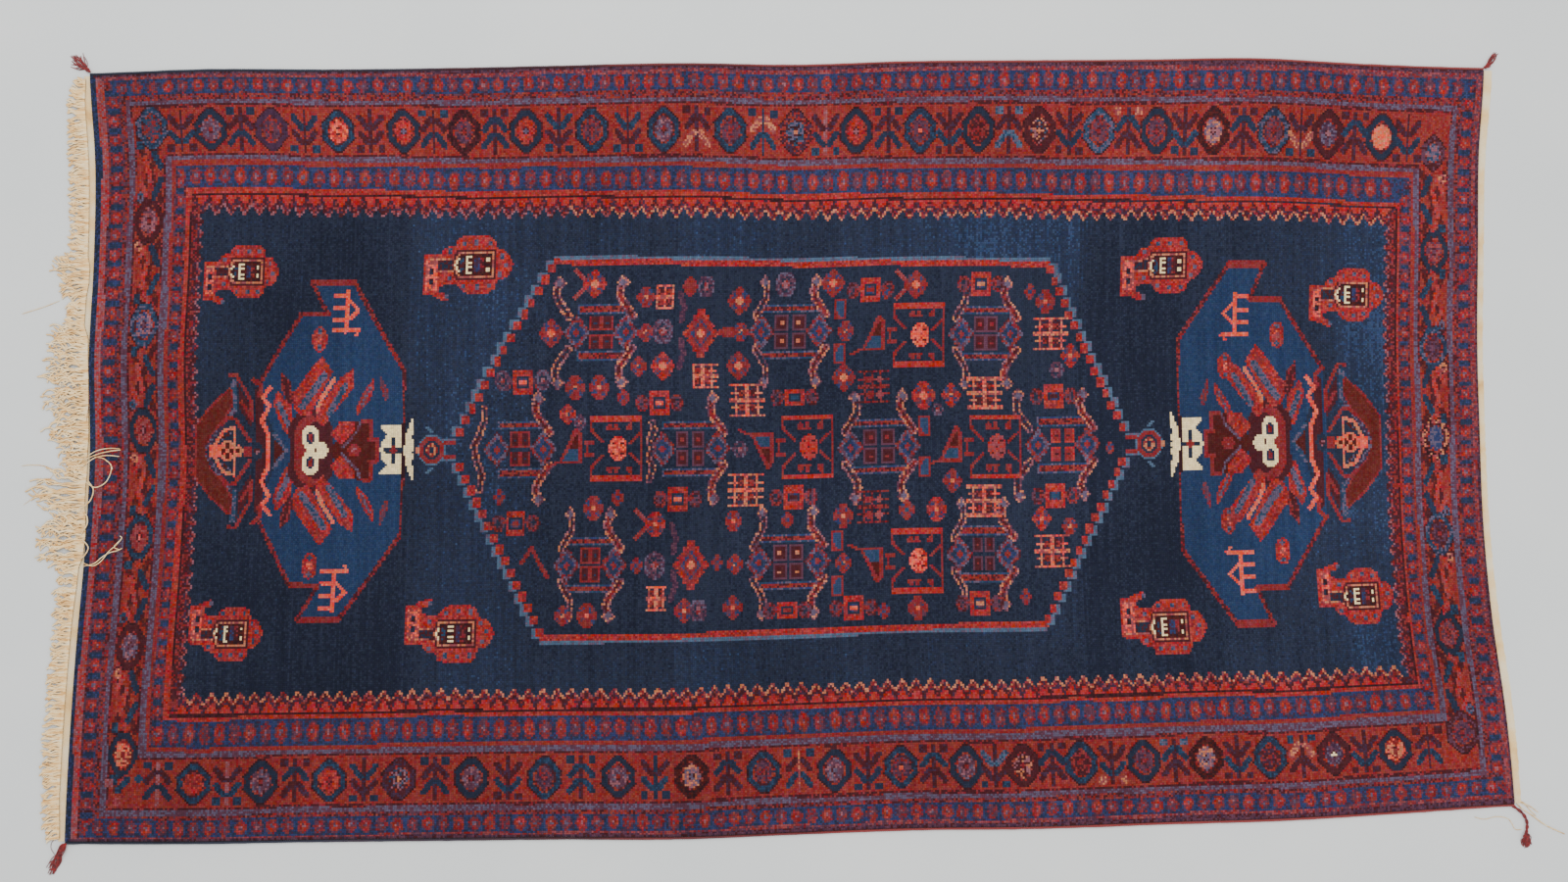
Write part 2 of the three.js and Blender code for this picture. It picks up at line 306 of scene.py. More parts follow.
class Spot:
    """A place on a draft where a motif is knotted, p along and q across from its middle."""

    def __init__(self, draft, x, y, wide, tall):
        self.draft, self.x, self.y, self.wide, self.tall = draft, x, y, wide, tall

    def at(self, p, q, wide=1.0, tall=1.0):
        x, y = self.x + p * self.wide, self.y + q * self.tall
        return Spot(self.draft, x, y, self.wide * wide, self.tall * tall)

    def knot(self, yarns, left, right, test):
        """Ties the yarns on each knot between left and right that passes the test."""
        ends = sorted((self.x + left * self.wide, self.x + right * self.wide))
        first, last = np.searchsorted(self.draft.x, (ends[0] - 1, ends[1] + 1))
        p = (self.draft.x[first:last, None] - self.x) / self.wide
        q = (self.draft.y[first:last] - self.y) / self.tall
        rows, columns = np.nonzero(test(p, q) & self.draft.inside[first:last])
        self.draft.tie(yarns, rows + first, columns)

    def disc(self, yarns, p, q, long, high=None):
        high = high or long
        self.knot(yarns, p - long, p + long, lambda a, b: ((a - p) / long) ** 2 + ((b - q) / high) ** 2 <= 1)

    def diamond(self, yarns, p, q, long, high=None):
        high = high or long
        self.knot(yarns, p - long, p + long, lambda a, b: abs(a - p) / long + abs(b - q) / high <= 1)

    def box(self, yarns, p, q, long, high=None):
        high = high or long
        self.knot(yarns, p - long, p + long, lambda a, b: (abs(a - p) <= long) & (abs(b - q) <= high))

    def line(self, yarns, width, *points):
        for (p, q), (r, s) in zip(points, points[1:]):
            length = (r - p) ** 2 + (s - q) ** 2

            def near(a, b):
                t = np.clip(((a - p) * (r - p) + (b - q) * (s - q)) / length, 0, 1)
                return (a - p - t * (r - p)) ** 2 + (b - q - t * (s - q)) ** 2 <= (width / 2) ** 2

            self.knot(yarns, min(p, r) - width, max(p, r) + width, near)

    def patch(self, yarns, *points):
        ring = list(zip(points, points[1:] + points[:1]))

        def within(a, b):
            crossings = np.zeros(np.broadcast_shapes(a.shape, b.shape), int)
            for (p, q), (r, s) in ring:
                if q != s:
                    crossings += ((b >= min(q, s)) & (b < max(q, s)) & (a < p + (b - q) * (r - p) / (s - q)))
            return crossings % 2 == 1

        self.knot(yarns, min(p for p, q in points), max(p for p, q in points), within)

    def both(self, draw):
        """Draws a shape and its mirror image across the middle."""
        draw(self)
        draw(self.at(0, 0, tall=-1))


# ---- Borders ----

# Mixes of yarn that more than one motif takes.
TEALS = (TEAL, INDIGO, NAVY)
GREY_TEALS = (TEAL, SLATE, INDIGO)
REDS = (SCARLET, RED, SCARLET)
MAUVES = (MAUVE, ROSE, MAUVE, SLATE, MAUVE)
DULLS = (MAUVE, PLUM, RED, MAUVE)
DUSKS = (PLUM, SLATE, MAUVE)
PLUMS = (PLUM, MAUVE, MAROON)
FADED_REDS = (MAUVE, CORAL, RED)
BROWNS = (BROWN, SOOT)
PALES = (ROSE, PEACH, SLATE)
LINES = (MAROON, MAROON, RED)
SLATES = (SLATE, MAUVE, SLATE, MAUVE)
GUARDS = (GUARD, GUARD, GUARD, INDIGO, PLUM)

# The bands of the border from the rug's edge inwards, with their yarns. The zigzag lies on the field's own.
BANDS = dict(
    edge=(MAUVE, PLUM, MAUVE, MAROON), coral=(CORAL, MAUVE, RED), outer_guard=GUARDS,
    outer_red=(BRICK, MAUVE, RED, MAROON), outer_slate=SLATES, outer_line=LINES,
    main=(BRICK, BRICK, RED, BRICK), inner_line=LINES, inner_slate=SLATES, inner_red=(BRICK, RED),
    inner_guard=GUARDS, field_red=(BRICK, SCARLET), field_line=(SOOT, MAROON),
    teeth=(MAROON, MAROON, PLUM, RED), zigzag=None,
)
# How many knots high each band's motifs are drawn. They are stretched to the band's height on the rug.
BAND_HEIGHT = dict(outer_guard=9, main=24, inner_guard=10, teeth=4.4, zigzag=5)
# Knots from the rug's edge to where each band ends, at the first and the last end of the side.
BAND_ENDS = {
    "far": ((1, 3, 10.3, 13.5, 15.8, 17, 40.2, 41.2, 43.4, 45.8, 56.7, 59.5, 60.7, 65.5, 71),
            (2.5, 5, 15.8, 19.3, 22, 23.3, 51, 52.4, 55.2, 57.7, 71, 73, 74.2, 77.5, 83.2)),
    "near": ((.8, 1.8, 10.4, 12.2, 15, 16.2, 39, 40.2, 42.5, 44.5, 57.6, 59.5, 60.8, 65.5, 71),
             (3, 5, 13, 15.3, 17.6, 19, 42, 43.2, 47, 49.2, 60, 62, 63.2, 66.6, 72)),
    "left": ((2.5, 6, 14, 16, 18.6, 19.4, 32.6, 33.4, 36.6, 38.4, 44, 47, 47.6, 51, 54),
             (3.2, 6.8, 14.8, 16.8, 19.4, 20.2, 34, 34.8, 38, 39.4, 45, 47.6, 48.2, 51.4, 54)),
    "right": ((1.4, 4, 11, 13, 15.6, 16.2, 30, 30.7, 33.4, 35, 41, 42.2, 42.7, 46, 49),) * 2,
}
UPRIGHT = ("left", "right")
SIDES = ("far", "near", *UPRIGHT)


def across_bands(side, i, j):
    """How far each knot lies into the bands of a side: 2.5 is halfway through the third band."""
    along, distance, length = {
        "far": (i, KNOTS_ACROSS - j, KNOTS_ALONG), "near": (i, j, KNOTS_ALONG),
        "left": (j, i, KNOTS_ACROSS), "right": (j, KNOTS_ALONG - i, KNOTS_ACROSS),
    }[side]
    first, last = (np.array((0,) + ends) for ends in BAND_ENDS[side])
    share = along / length
    wander = .45 * np.sin(along / 17 + len(side)) * np.sin(along / 41)  # knots
    depth = np.zeros(distance.shape)
    for band in range(len(BANDS)):
        start = first[band] + (last[band] - first[band]) * share
        end = first[band + 1] + (last[band + 1] - first[band + 1]) * share
        depth += np.clip((distance + wander - start) / (end - start), 0, 1)
    return depth


def weave_borders(knots):
    """Fills the bands all round, mitred at the corners, and returns each as a strip to knot motifs on."""
    i, j = np.meshgrid(np.arange(KNOTS_ALONG) + .5, np.arange(KNOTS_ACROSS) + .5, indexing="ij")
    depths = {side: across_bands(side, i, j) for side in SIDES}
    nearest = np.minimum.reduce(list(depths.values()))
    strips = {}
    for side, depth in depths.items():
        own = (depth <= nearest) & (depth < len(BANDS))
        for number, (name, yarns) in enumerate(BANDS.items()):
            inside = own & (np.floor(depth) == number)
            y = (depth - number - .5) * BAND_HEIGHT.get(name, 1)
            if side in UPRIGHT:
                strip = Draft(knots.T, j[0], y.T, inside.T)
            else:
                strip = Draft(knots, i[:, 0], y, inside)
            if yarns:
                strip.fill(yarns)
            strips[side, name] = strip
    return strips


# Knots from one guard flower to the next.
GUARD_PITCH = {"far": 7.5, "near": 7.4, "left": 9.6, "right": 9.9}


def guard_flower(spot, halo, petal):
    """A flower in a dimmer halo, with a small eye."""
    spot.disc(halo, 0, 0, 2.9, 3.9)
    spot.disc(petal, 0, 0, 2.1, 2.9)
    spot.disc((SLATE, MAUVE, ROSE), 0, 0, .8, 1.1)


def weave_guards(strips, chance):
    """Flowers along both guard bands; the left end starts with a navy edge and a bright line."""
    strips["left", "edge"].fill((NAVY, INDIGO, GUARD))
    strips["left", "coral"].fill((CORAL, ROSE, SCARLET))
    for side in SIDES:
        upright = side in UPRIGHT
        length = KNOTS_ACROSS if upright else KNOTS_ALONG
        pitch = GUARD_PITCH[side]
        for name, first in (("outer_guard", 8), ("inner_guard", 52 if upright else 42)):
            strip = strips[side, name]
            if upright:
                strip.fill((MAUVE, MAROON, RED, MAUVE))
            place, bright = first, True
            while place < length - first:
                if upright:
                    strip.at(place + pitch / 2, 0).box((INDIGO, GUARD, INDIGO), 0, 0, 1.4, 3.6)
                    yarns = (MAUVE, RED, PLUM), (RED, SCARLET, RED)
                else:
                    yarns = (MAUVE, PLUM, RED), (RED, MAUVE)
                    if bright:
                        yarns = (RED, MAUVE), (SCARLET, RED, BRICK)
                guard_flower(strip.at(place, chance.uniform(-.3, .3), 1.15 if upright else 1,
                                      chance.uniform(.96, 1.08)), *yarns)
                place += pitch * chance.uniform(.95, 1.05)
                bright = not bright


def weave_teeth(strips, chance):
    """Bright teeth stand on the dark line, and a dotted zigzag parts them from the field."""
    for side, pitch in (("far", 6.95), ("near", 7.0), ("left", 6.2), ("right", 6.4)):
        upright = side in UPRIGHT
        first, length = (60, KNOTS_ACROSS) if upright else (46, KNOTS_ALONG)
        place = first
        while place < length - first:
            tooth = strips[side, "teeth"].at(place, 0)
            tooth.patch((RED, MAROON) if upright else SCARLET,
                        (-3.3, -2.6), (3.3, -2.6), (.9, 2.4), (-.9, 2.4))
            zigzag = strips[side, "zigzag"].at(place, 0)
            zigzag.patch((PLUM, RED, MAROON), (-pitch / 2, -2.6), (pitch / 2, -2.6), (0, 2.2))
            faint = upright or (side == "far" and place < 240)
            zigzag.line((CORAL, MAROON, ROSE) if faint else (PEACH, CORAL, PEACH, RED), 1.05,
                        (-pitch / 2, -2.5), (0, 2.3), (pitch / 2, -2.5))
            place += pitch * chance.uniform(.94, 1.06)


def main_rosette(spot, outline, petal, heart):
    """A blunt lozenge, notched at its sides, round a flower of eight petals."""
    lozenge = ((1.5, 11), (4.2, 8.2), (8.3, 3.2), (7.5, 0), (8.3, -3.2), (4.2, -8.2), (1.5, -11),
               (-1.5, -11), (-4.2, -8.2), (-8.3, -3.2), (-7.5, 0), (-8.3, 3.2), (-4.2, 8.2), (-1.5, 11))
    for size, yarns in ((1.08, (MAROON, SOOT)), (1, outline), (.7, (BRICK, MAROON))):
        spot.patch(yarns, *[(p * size, q * size) for p, q in lozenge])
    for turn in range(8):
        angle = turn * np.pi / 4
        spot.disc(petal, 3.4 * np.cos(angle), 4.5 * np.sin(angle), 1.5, 2)
    spot.disc(petal, 0, 0, 2.6, 3.4)
    spot.disc(MAROON, 0, 0, 1.5, 1.9)
    spot.disc(heart, 0, 0, 1.1, 1.4)


# Where the rosettes stand along each side, and the yarns of outline, petals and heart.
MAIN_ROSETTES = {
    "far": (
        (58, NAVY, MAUVES, RED), (88, PLUM, DULLS, RED), (121, TEALS, (SCARLET, ORANGE), ORANGE),
        (153.5, NAVY, REDS, SLATE), (183.5, (SOOT, MAROON), DULLS, RED), (214.5, NAVY, REDS, SLATE),
        (247.5, TEALS, DULLS, RED), (283.5, TEALS, MAUVES, RED), (317, TEALS, DULLS, RED),
        (350, (PLUM, BRICK, MAROON), (TEAL, SLATE, SOOT), PEACH), (380.5, NAVY, REDS, ROSE),
        (413, TEALS, DULLS, ORANGE), (442.5, NAVY, (MAROON, RED), RED),
        (473.5, MAROON, (MAROON, ROSE, PEACH, TEAL, MAROON), PEACH), (504, (TEAL, SLATE, TEAL), DULLS, RED),
        (533.5, NAVY, DULLS, RED), (562.5, BROWNS, PALES, ROSE), (593.5, (TEAL, INDIGO, SLATE), DULLS, RED),
        (621.5, MAROON, DUSKS, ROSE), (649, NAVY, (ORANGE, PEACH), ORANGE),
    ),
    "near": (
        (60, TEALS, REDS, RED), (92, NAVY, MAUVES, RED), (124.5, TEALS, REDS, RED),
        (157.8, (MAROON, PLUM), (MAROON, ROSE, SLATE, TEAL, MAROON), PEACH), (192.4, NAVY, MAUVES, RED),
        (227.5, TEALS, DULLS, RED), (263, NAVY, MAUVES, RED),
        (298.4, BROWNS, (ROSE, PEACH, SLATE, PEACH), SLATE),
        (333.3, TEALS, DULLS, RED), (367.7, NAVY, MAUVES, SLATE), (400, TEALS, DULLS, ORANGE),
        (431.8, NAVY, MAUVES, RED), (459.5, MAROON, (MAROON, ROSE, PEACH, MAROON, ROSE), RED),
        (488, TEALS, (MAROON, RED), RED), (518.8, NAVY, DULLS, RED), (549.5, BROWNS, PALES, SLATE),
        (581, TEALS, (MAROON, RED, PLUM), RED), (612.5, MAROON, DUSKS, CREAM),
        (643, NAVY, (ORANGE, PEACH, RED), RED),
    ),
    "left": (
        (41.5, NAVY, (ORANGE, RED, PEACH), RED), (93.5, MAROON, (SLATE, ROSE, MAUVE), MAUVE),
        (146.5, TEALS, (CORAL, RED), ORANGE), (198.5, NAVY, (CORAL, RED), ROSE),
        (250.5, GREY_TEALS, (SLATE, GUARD, ROSE), MAUVE), (302, MAROON, (ROSE, MAUVE, CORAL), RED),
    ),
    "right": (
        (86.5, NAVY, FADED_REDS, RED), (137, GREY_TEALS, PLUMS, RED),
        (185.6, (PEACH, SOOT, CORAL), (GUARD, SLATE), GUARD), (231.5, GREY_TEALS, PLUMS, MAUVE),
        (281, NAVY, FADED_REDS, MAUVE),
    ),
}
# The trees between them: which way the leaves point from the field's side, down or up, then the
# letters of stem, leaves by the squares, far leaves and squares.
TREE_YARNS = dict(M=(MAROON, MAROON, PLUM), T=TEALS, N=(NAVY, INDIGO), P=(PEACH, CORAL),
                  S=(SLATE, TEAL, SKY), R=(CORAL, ROSE))
TREES = {
    "far": "vMTMM ^MMNN vMMNT vMMMM ^MMNT ^MNNM vMMTT vMMTT ^MMPM ^TPTN vRNMT ^MMNN vMTMM ^MMSS vMNMM ^MTMP "
           "vMTMN ^MNMM vMPMT ^MTMM vMTMM",
    "near": "^RMNN vRTMT ^MNMM vMMTN ^MMNN vMTMM ^MTTN vNTMN ^MNMM ^PMTT vMNMN ^MTMM vMMST ^MNMM vMTMP "
            "^MTMS vMTMM ^MPMT vMTMM ^MMTM",
}


def tree(spot, stem, upper, lower, squares):
    """A stem across the strip with two pairs of slanting leaves and two squares at its foot."""
    spot.box(stem, 0, 0, .9, 11)
    for side in (-1, 1):
        half = spot.at(0, 0, wide=side)
        half.line(upper, 3, (1.6, 5.8), (5.3, .9))
        half.line(lower, 3, (1.6, -1.6), (5.5, -7))
        half.box(squares, 5.2, 9, 1.9, 1.9)


def spray(spot, leaf, tint, bud):
    """The side borders hold crossed stems, small squares, buds and loose leaves between their rosettes."""
    for p, q, r, s in ((-11, -6.4, 11, 6.4), (-11, 6.4, 11, -6.4)):
        spot.line((MAROON, MAROON, EMBER), 3, (p, q), (r, s))
    spot.line((SCARLET, SCARLET, CORAL), 2.6, (-4.6, -2.6), (4, .2))
    spot.line((SCARLET, SCARLET, CORAL), 2.4, (4.4, -5.4), (8.6, -2.2))
    spot.line((NAVY, INDIGO), 3.2, (3.6, 6), (9.4, 2.2))
    spot.line(leaf, 3, (-7, 2), (-1.6, 6.2))
    spot.box((NAVY, TEAL), -9.6, -5, 1.7, 2)
    spot.line(tint, 1.8, (-10.6, 1.4), (-8, -1.4))
    spot.disc(bud, 9.6, -5.4, 1.9, 2.2)
    spot.disc(MAROON, 9.6, -5.4, .7, .8)


# Where the trees of each long side start, at the first one's far edge, and where they end; and how far the
# outermost sprays of the short sides reach past their rosettes.
TREES_START = {"far": 29, "near": 26}
TREES_END = 676
SPRAY_REACH = 50


def weave_main(strips):
    """Rosettes all round, with trees between them on the long sides and sprays on the short ones."""
    for side, row in MAIN_ROSETTES.items():
        strip = strips[side, "main"]
        stretch = (1.36, 1.14) if side in UPRIGHT else (.97, .94)
        for place, *yarns in row:
            main_rosette(strip.at(place, 0, *stretch), *yarns)
        places = [rosette_row[0] for rosette_row in row]
        if side in UPRIGHT:
            places = [places[0] - SPRAY_REACH, *places, places[-1] + SPRAY_REACH]
            for number, (start, end) in enumerate(zip(places, places[1:])):
                flip, bud = (1, (CORAL, PEACH)) if number % 2 else (-1, (TEAL, SLATE))
                spray(strip.at((start + end) / 2, 0, flip * 1.35, 1.5), TEALS, (RED, CORAL, SCARLET), bud)
            continue
        gaps = zip([TREES_START[side], *places], [*places, TREES_END])
        for (start, end), word in zip(gaps, TREES[side].split()):
            points_out = (word[0] == "v") == (side == "far")
            yarns = [TREE_YARNS[letter] for letter in word[1:]]
            tree(strip.at((start + end) / 2, 0, 1, 1 if points_out else -1), *yarns)


def weave_corners(cloth):
    """The corners of the main border: a rosette in three, and loose leaves at the near left."""
    main_rosette(cloth.at(29, 348.5, .95, .95), (TEAL, INDIGO, SLATE), (RED, TEAL, MAUVE), MAUVE)
    main_rosette(cloth.at(676, 332, .75, .8), (MAUVE, MAROON), (SLATE, ROSE, TEAL), SLATE)
    main_rosette(cloth.at(677, 37, .95, .95), (MAROON, MAUVE), DULLS, RED)
    corner = cloth.at(26, 26)
    corner.line(TEALS, 3, (-2, -2), (3, 4))
    corner.disc((ROSE, CORAL), -6, 2, 2.2, 2.2)
    corner.disc((RED, CORAL), -2, -7, 2, 2)
    corner.disc(TEAL, 8, 4, 1.6, 1.8)


# ---- Field ----

# The field's dye lots along the warp: the knot, and how bright the lot is there, from night (0) to blue (3).
DYE_LOTS = (
    (0, 1.0), (60, .9), (90, .5), (150, .5), (165, 1.6), (215, 1.6), (228, 1.1), (290, 1.0), (302, 1.7),
    (322, 1.5), (335, 1.1), (420, 1.1), (436, 1.7), (492, 1.6), (500, .4), (545, .4), (552, .9), (622, 1.2),
    (632, 2.2), (700, 2.0),
)
# Painted light: how much brighter the far side is painted than the near one, along the warp.
FAR_BRIGHTER = ((0, .8), (150, .8), (230, .2), (420, .4), (445, 2.4), (490, 2.1), (510, .4))
# A cloudy patch of the field is about so many knots long and high.
CLOUD_ALONG, CLOUD_ACROSS = 20, 24


def weave_field(knots, chance):
    """The navy of the field changes from dye lot to dye lot along the warp, and painted light brightens its
    far side.
    """
    i, j = np.arange(KNOTS_ALONG), np.arange(KNOTS_ACROSS)
    row = np.interp(i, *zip(*DYE_LOTS)) + chance.normal(0, .2, KNOTS_ALONG)
    # painted light: the field's far side brighter and its near side darker
    painted_far_light = np.interp(i, *zip(*FAR_BRIGHTER))[:, None] * (j / KNOTS_ACROSS - .5)
    clouds = chance.normal(0, 1, (KNOTS_ALONG // CLOUD_ALONG + 2, KNOTS_ACROSS // CLOUD_ACROSS + 2))
    clouds = np.array([np.interp(i / CLOUD_ALONG, np.arange(len(column)), column) for column in clouds.T]).T
    clouds = np.array([np.interp(j / CLOUD_ACROSS, np.arange(len(line)), line) for line in clouds])
    shade = row[:, None] + painted_far_light + .3 * clouds + chance.normal(0, .4, (KNOTS_ALONG, KNOTS_ACROSS))
    knots[:] = np.clip(np.round(shade), NIGHT, BLUE).astype(np.uint8)


# Corners of the medallion: its two tips and the ends of its far and near sides.
TIP_LEFT, TIP_RIGHT = (181, 187.5), (518, 184.5)
FAR_SIDE = ((229.5, 279.5), (479, 275))
NEAR_SIDE = ((226, 95), (475.5, 97))
# Its ground is as bright as the field up to this knot, and a lot darker past it.
GROUND_JOIN = 228
STAIRS = 15
# The ends' first stair starts so far from the tip.
STAIR_START = 6


def weave_medallion(cloth, field):
    """A long hexagon, a little darker than the field, with striped sides and stepped ends."""
    whole = cloth.at(0, 0)
    whole.patch(SOOT, TIP_LEFT, *FAR_SIDE, TIP_RIGHT, *NEAR_SIDE[::-1])
    ground = cloth.knots == SOOT
    # the soot of the line round the field, outside these knots, stays
    ground[:60] = ground[-50:] = ground[:, :72] = ground[:, -70:] = False
    brightest = np.where(np.arange(KNOTS_ALONG) < GROUND_JOIN, BLUE, NAVY)[:, None]
    cloth.knots[ground] = np.clip(field.astype(int) - (SPECKLE % 3 == 0), NIGHT, brightest)[ground]
    for ((p, q), (r, s)), out in ((FAR_SIDE, 1), (NEAR_SIDE, -1)):
        whole.line((SKY, SLATE, SKY), 1.7, (p, q + 1.9 * out), (r, s + 1.9 * out))
        whole.line(REDS, 2.9, (p, q - .4 * out), (r, s - .4 * out))
    for (p, q), end, out in ((TIP_LEFT, 0, -1), (TIP_RIGHT, 1, 1)):
        for (r, s), up in ((FAR_SIDE[end], 1), (NEAR_SIDE[end], -1)):
            rise = (abs(s - q) - STAIR_START) / STAIRS
            run = (r - p) / STAIRS
            for step in range(STAIRS):
                stair = whole.at(p + run * (step + .5), q + up * (STAIR_START + rise * (step + .5)), out, up)
                stair.box((SKY, SLATE, SKY), 1.2, .5, 2.1, rise / 2 - .3)
                stair.box((SCARLET, RED), -.4, -.3, 1.8, rise / 2 - .7)
        finial(cloth.at(p + out * 5, q, out))


def finial(spot):
    """Two bars and a ring, past each tip of the medallion."""
    for q in (3.2, -3.2):
        spot.box((SKY, SLATE), 0, q * 1.55, 5, .8)
        spot.box(RED, 0, q, 5, 1.2)
    spot.disc(SKY, 7, 0, 7, 7.6)
    spot.disc(RED, 7, 0, 6.2, 6.6)
    spot.disc(NAVY, 7, 0, 4.4, 4.8)
    spot.disc((PEACH, RED), 7, 0, 3, 3.2)
    spot.disc(NAVY, 7, 0, 1.4, 1.6)
    for q in (8.5, -8.5):
        spot.line(SKY, 1.3, (6, q), (9, q * 1.25))
    spot.box(PEACH, 14, 0, 1, 1)


# ---- Small motifs of the medallion ----

CORNERS = ((-1, -1), (-1, 1), (1, -1), (1, 1))


def rosette(spot, size, petal, heart):
    """Four broad petals, bluish specks between them and a pale cross in the middle."""
    for p, q in ((0, .52), (.46, 0), (0, -.52), (-.46, 0)):
        spot.disc((petal, petal, RED), p * size, q * size * 1.1, .5 * size, .56 * size)
    for p, q in ((.42, .5), (-.42, -.5), (.45, -.5), (-.45, .5)):
        spot.disc((MAUVE, GUARD, RED), p * size, q * size, .26 * size, .3 * size)
    if size > 3.6:
        spot.box((heart, PEACH), 0, 0, .5, .26 * size)
        spot.box((heart, PEACH), 0, 0, .26 * size, .5)
    else:
        spot.disc((GUARD, MAUVE), 0, 0, .3 * size)


def dull_flower(spot, size):
    """A dim flower of greyed purple wool."""
    spot.disc((MAUVE, SLATE, PLUM), 0, 0, size, size * 1.25)
    spot.disc((NAVY, MAUVE), 0, 0, size * .62, size * .75)
    spot.disc((RED, ROSE), 0, 0, size * .35, size * .4)


def hook(spot, outer, inner):
    """A serrated leaf that leans out from a tile's corner, with a small barb at its tip."""
    route = ((-.6, 1), (-3.4, 5), (-6.6, 9.4), (-7.4, 13), (-6.6, 16))
    spot.line(outer, 4.1, *route)
    spot.diamond(outer, -6, 17.6, 3.4, 4)
    spot.line(inner, 1.8, *route)
    spot.diamond(SLATE, -6, 17.6, 1.8, 2.2)


# The rims, middles and specks of a tile's squares.
TILE_YARNS = dict(squares=(RED, MAROON, INDIGO), cross=(MAUVE, MAROON, RED), dots=(MAUVE, MAROON, PEACH),
                  bright=(SCARLET, RED, MAROON))


def diamond_tile(spot, heart, span, left, right):
    """Two bars with pale outlines, a diamond at each end, four squares in the middle and a hook at each
    corner. Left and right say which way the hooks lean, and how far they are stretched."""
    for q in (11.6, -11.6):
        spot.box((SLATE, TEAL, GUARD), 0, q, span, 2.2)
        spot.box((RED, BRICK, MAROON), 0, q, span - 1, 1.2)
    for p in (-span, span):
        spot.diamond((MAROON, SLATE, RED), p, 0, 7, 9)
        spot.diamond((MAUVE, SLATE, RED), p, 0, 6, 8)
        spot.diamond((GUARD, INDIGO), p, 0, 4.2, 5.6)
        spot.diamond(RED, p, 0, 1.7, 2.2)
    wide = span - 6.2
    rim, block, speck = TILE_YARNS[heart]
    for p, q in CORNERS:
        spot.box(rim, p * wide * .5, q * 4.6, wide * .42, 3.9)
        spot.box(block, p * wide * .5, q * 4.6, wide * .42 - .9, 3)
        spot.box(speck, p * wide * .5, q * 4.6, wide * .11, .7)
    for q in (-1, 1):
        if left:
            hook(spot.at(-span - 3.5, q * 7, left, q), (PEACH, MAUVE, ROSE), (MAROON, NAVY))
        hook(spot.at(span + 4, q * 7, right, q), (PEACH, ROSE, MAUVE), (RED, MAROON))


def framed_flower(spot, heart, flag):
    """A red frame with hanging teeth round a flower, and a small flag that points into it, turned over
    where flag is -1."""
    for q in (-1, 1):
        half = spot.at(0, 0, tall=q)
        half.box(SCARLET, 0, 15, 13, 1.2)
        half.line(RED, 1.3, (-12.5, 14), (-12, 9), (-6.5, 3.5))
        half.line(RED, 1.3, (12.3, 8), (6.5, 2.5))
        for p in (-3.5, 0, 6.5):
            half.patch(RED, (p - 1.7, 9.2), (p + 1.7, 9.2), (p + .9, 12.6), (p - .6, 12.6))
        half.box(RED, 7.4, 12, .7, 2.4)
        half.box(RED, -13.8, 3.4, 2.6, 1.1)
    spot.box(RED, 12.4, 0, .8, 14)
    spot.box(RED, -14.5, 0, .8, 4)
    spot.disc((heart, heart, SCARLET), .8, 0, 4.6, 6.4)
    for p, q in ((0, 0), (2.2, 2.6), (-2.2, 2.6), (2.2, -2.6), (-2.2, -2.6)):
        spot.box(MAROON, .8 + p, q, .5)
    pennant = spot.at(-21.5, 0, tall=flag)
    pennant.patch(RED, (-7.4, -7.4), (4.4, -7.4), (4, 8), (2.4, 10.4), (.6, 10.4))
    pennant.patch((TEAL, BLUE), (-5.2, -6), (2.8, -6), (2.8, -.4), (-2.4, -.4))
    pennant.patch(BROWN, (-1.8, .4), (2.6, .4), (2.4, 7), (1.4, 7.6))
    pennant.line(RED, 1.3, (-7, -6.6), (-13, -9))


def grid(spot, wide, tall, left, right):
    """Four small squares inside a comb-like grid, with its bars run out at the left or right."""
    line = (PEACH, ORANGE, CORAL)
    spot.box((MAROON, PLUM, NAVY), 0, 0, wide - .6, tall - .4)
    for p, q in CORNERS:
        spot.box((RED, MAROON, BRICK), p * wide * .42, q * tall * .48, wide * .24, tall * .26)
    for q in (-1, 0, 1):
        spot.box(line, (right - left) * 1.2, q * tall, wide + (left + right) * 1.2, .5)
    for p in (-.86, 0, .86):
        spot.box(line, p * wide, 0, .5, tall)
    for p, teeth in ((-1, left), (1, right)):
        for q in (-.5, .5):
            spot.box(line, p * wide * .95, q * tall, 2.2 * teeth, .5)


def ladder(spot):
    """Dim red bars crossed by dim red posts."""
    for q in (-7.4, -3.8, 0, 3.8, 7.4):
        spot.box((RED, MAROON), 0, q, 8, .7)
    for p in (-4.6, -.6, 3.4):
        spot.box((RED, MAROON), p, 0, .8, 7)
    for q in (-4, 3.6):
        spot.disc(RED, -2.2, q, 2, 1.8)
        spot.disc(CORAL, 3, q, 1.6, 1.6)


def framed_square(spot, heart, tall):
    """A red square round a dark one, with a small flower at each side."""
    spot.box(REDS, 0, 0, 4.8, 6.3 * tall)
    spot.box(NAVY, 0, 0, 3, 2.6 * tall)
    spot.box((GUARD, MAUVE), 0, 0, 2.2, 1.8 * tall)
    spot.box(heart, 0, 0, 1.6, .8)
    for p in (-1, 1):
        spot.disc((MAUVE, RED, MAROON), p * 9, 0, 3.2, 4)
        spot.disc((NAVY, MAUVE), p * 9, 0, 1.4, 1.8)
        spot.line((RED, MAUVE), 1.1, (p * 7, 3), (p * 5, 1), (p * 7, -3))


def pinwheel(spot):
    """A scalloped diamond of rings, with an orange middle."""
    for turn in range(12):
        share = turn % 3 / 3
        p, q = ((1 - share, share), (-share, 1 - share), (share - 1, -share), (share, share - 1))[turn // 3]
        spot.disc((RED, SCARLET), 6.8 * p, 10 * q, 2, 2.4)
    for size, yarns in ((6.8, RED), (5.2, (GUARD, MAUVE)), (3.8, RED)):
        spot.diamond(yarns, 0, 0, size, size * 1.45)
    spot.disc((ORANGE, PEACH), 0, 0, 1.8, 2.4)


def small_flag(spot):
    """A red square with a blue corner in it."""
    spot.box(RED, 0, 0, 3.4, 4.6)
    spot.patch(BLUE, (-2.4, 3.6), (2.2, 3.6), (2.2, -3.6), (0, -3.6), (-2.4, 0))


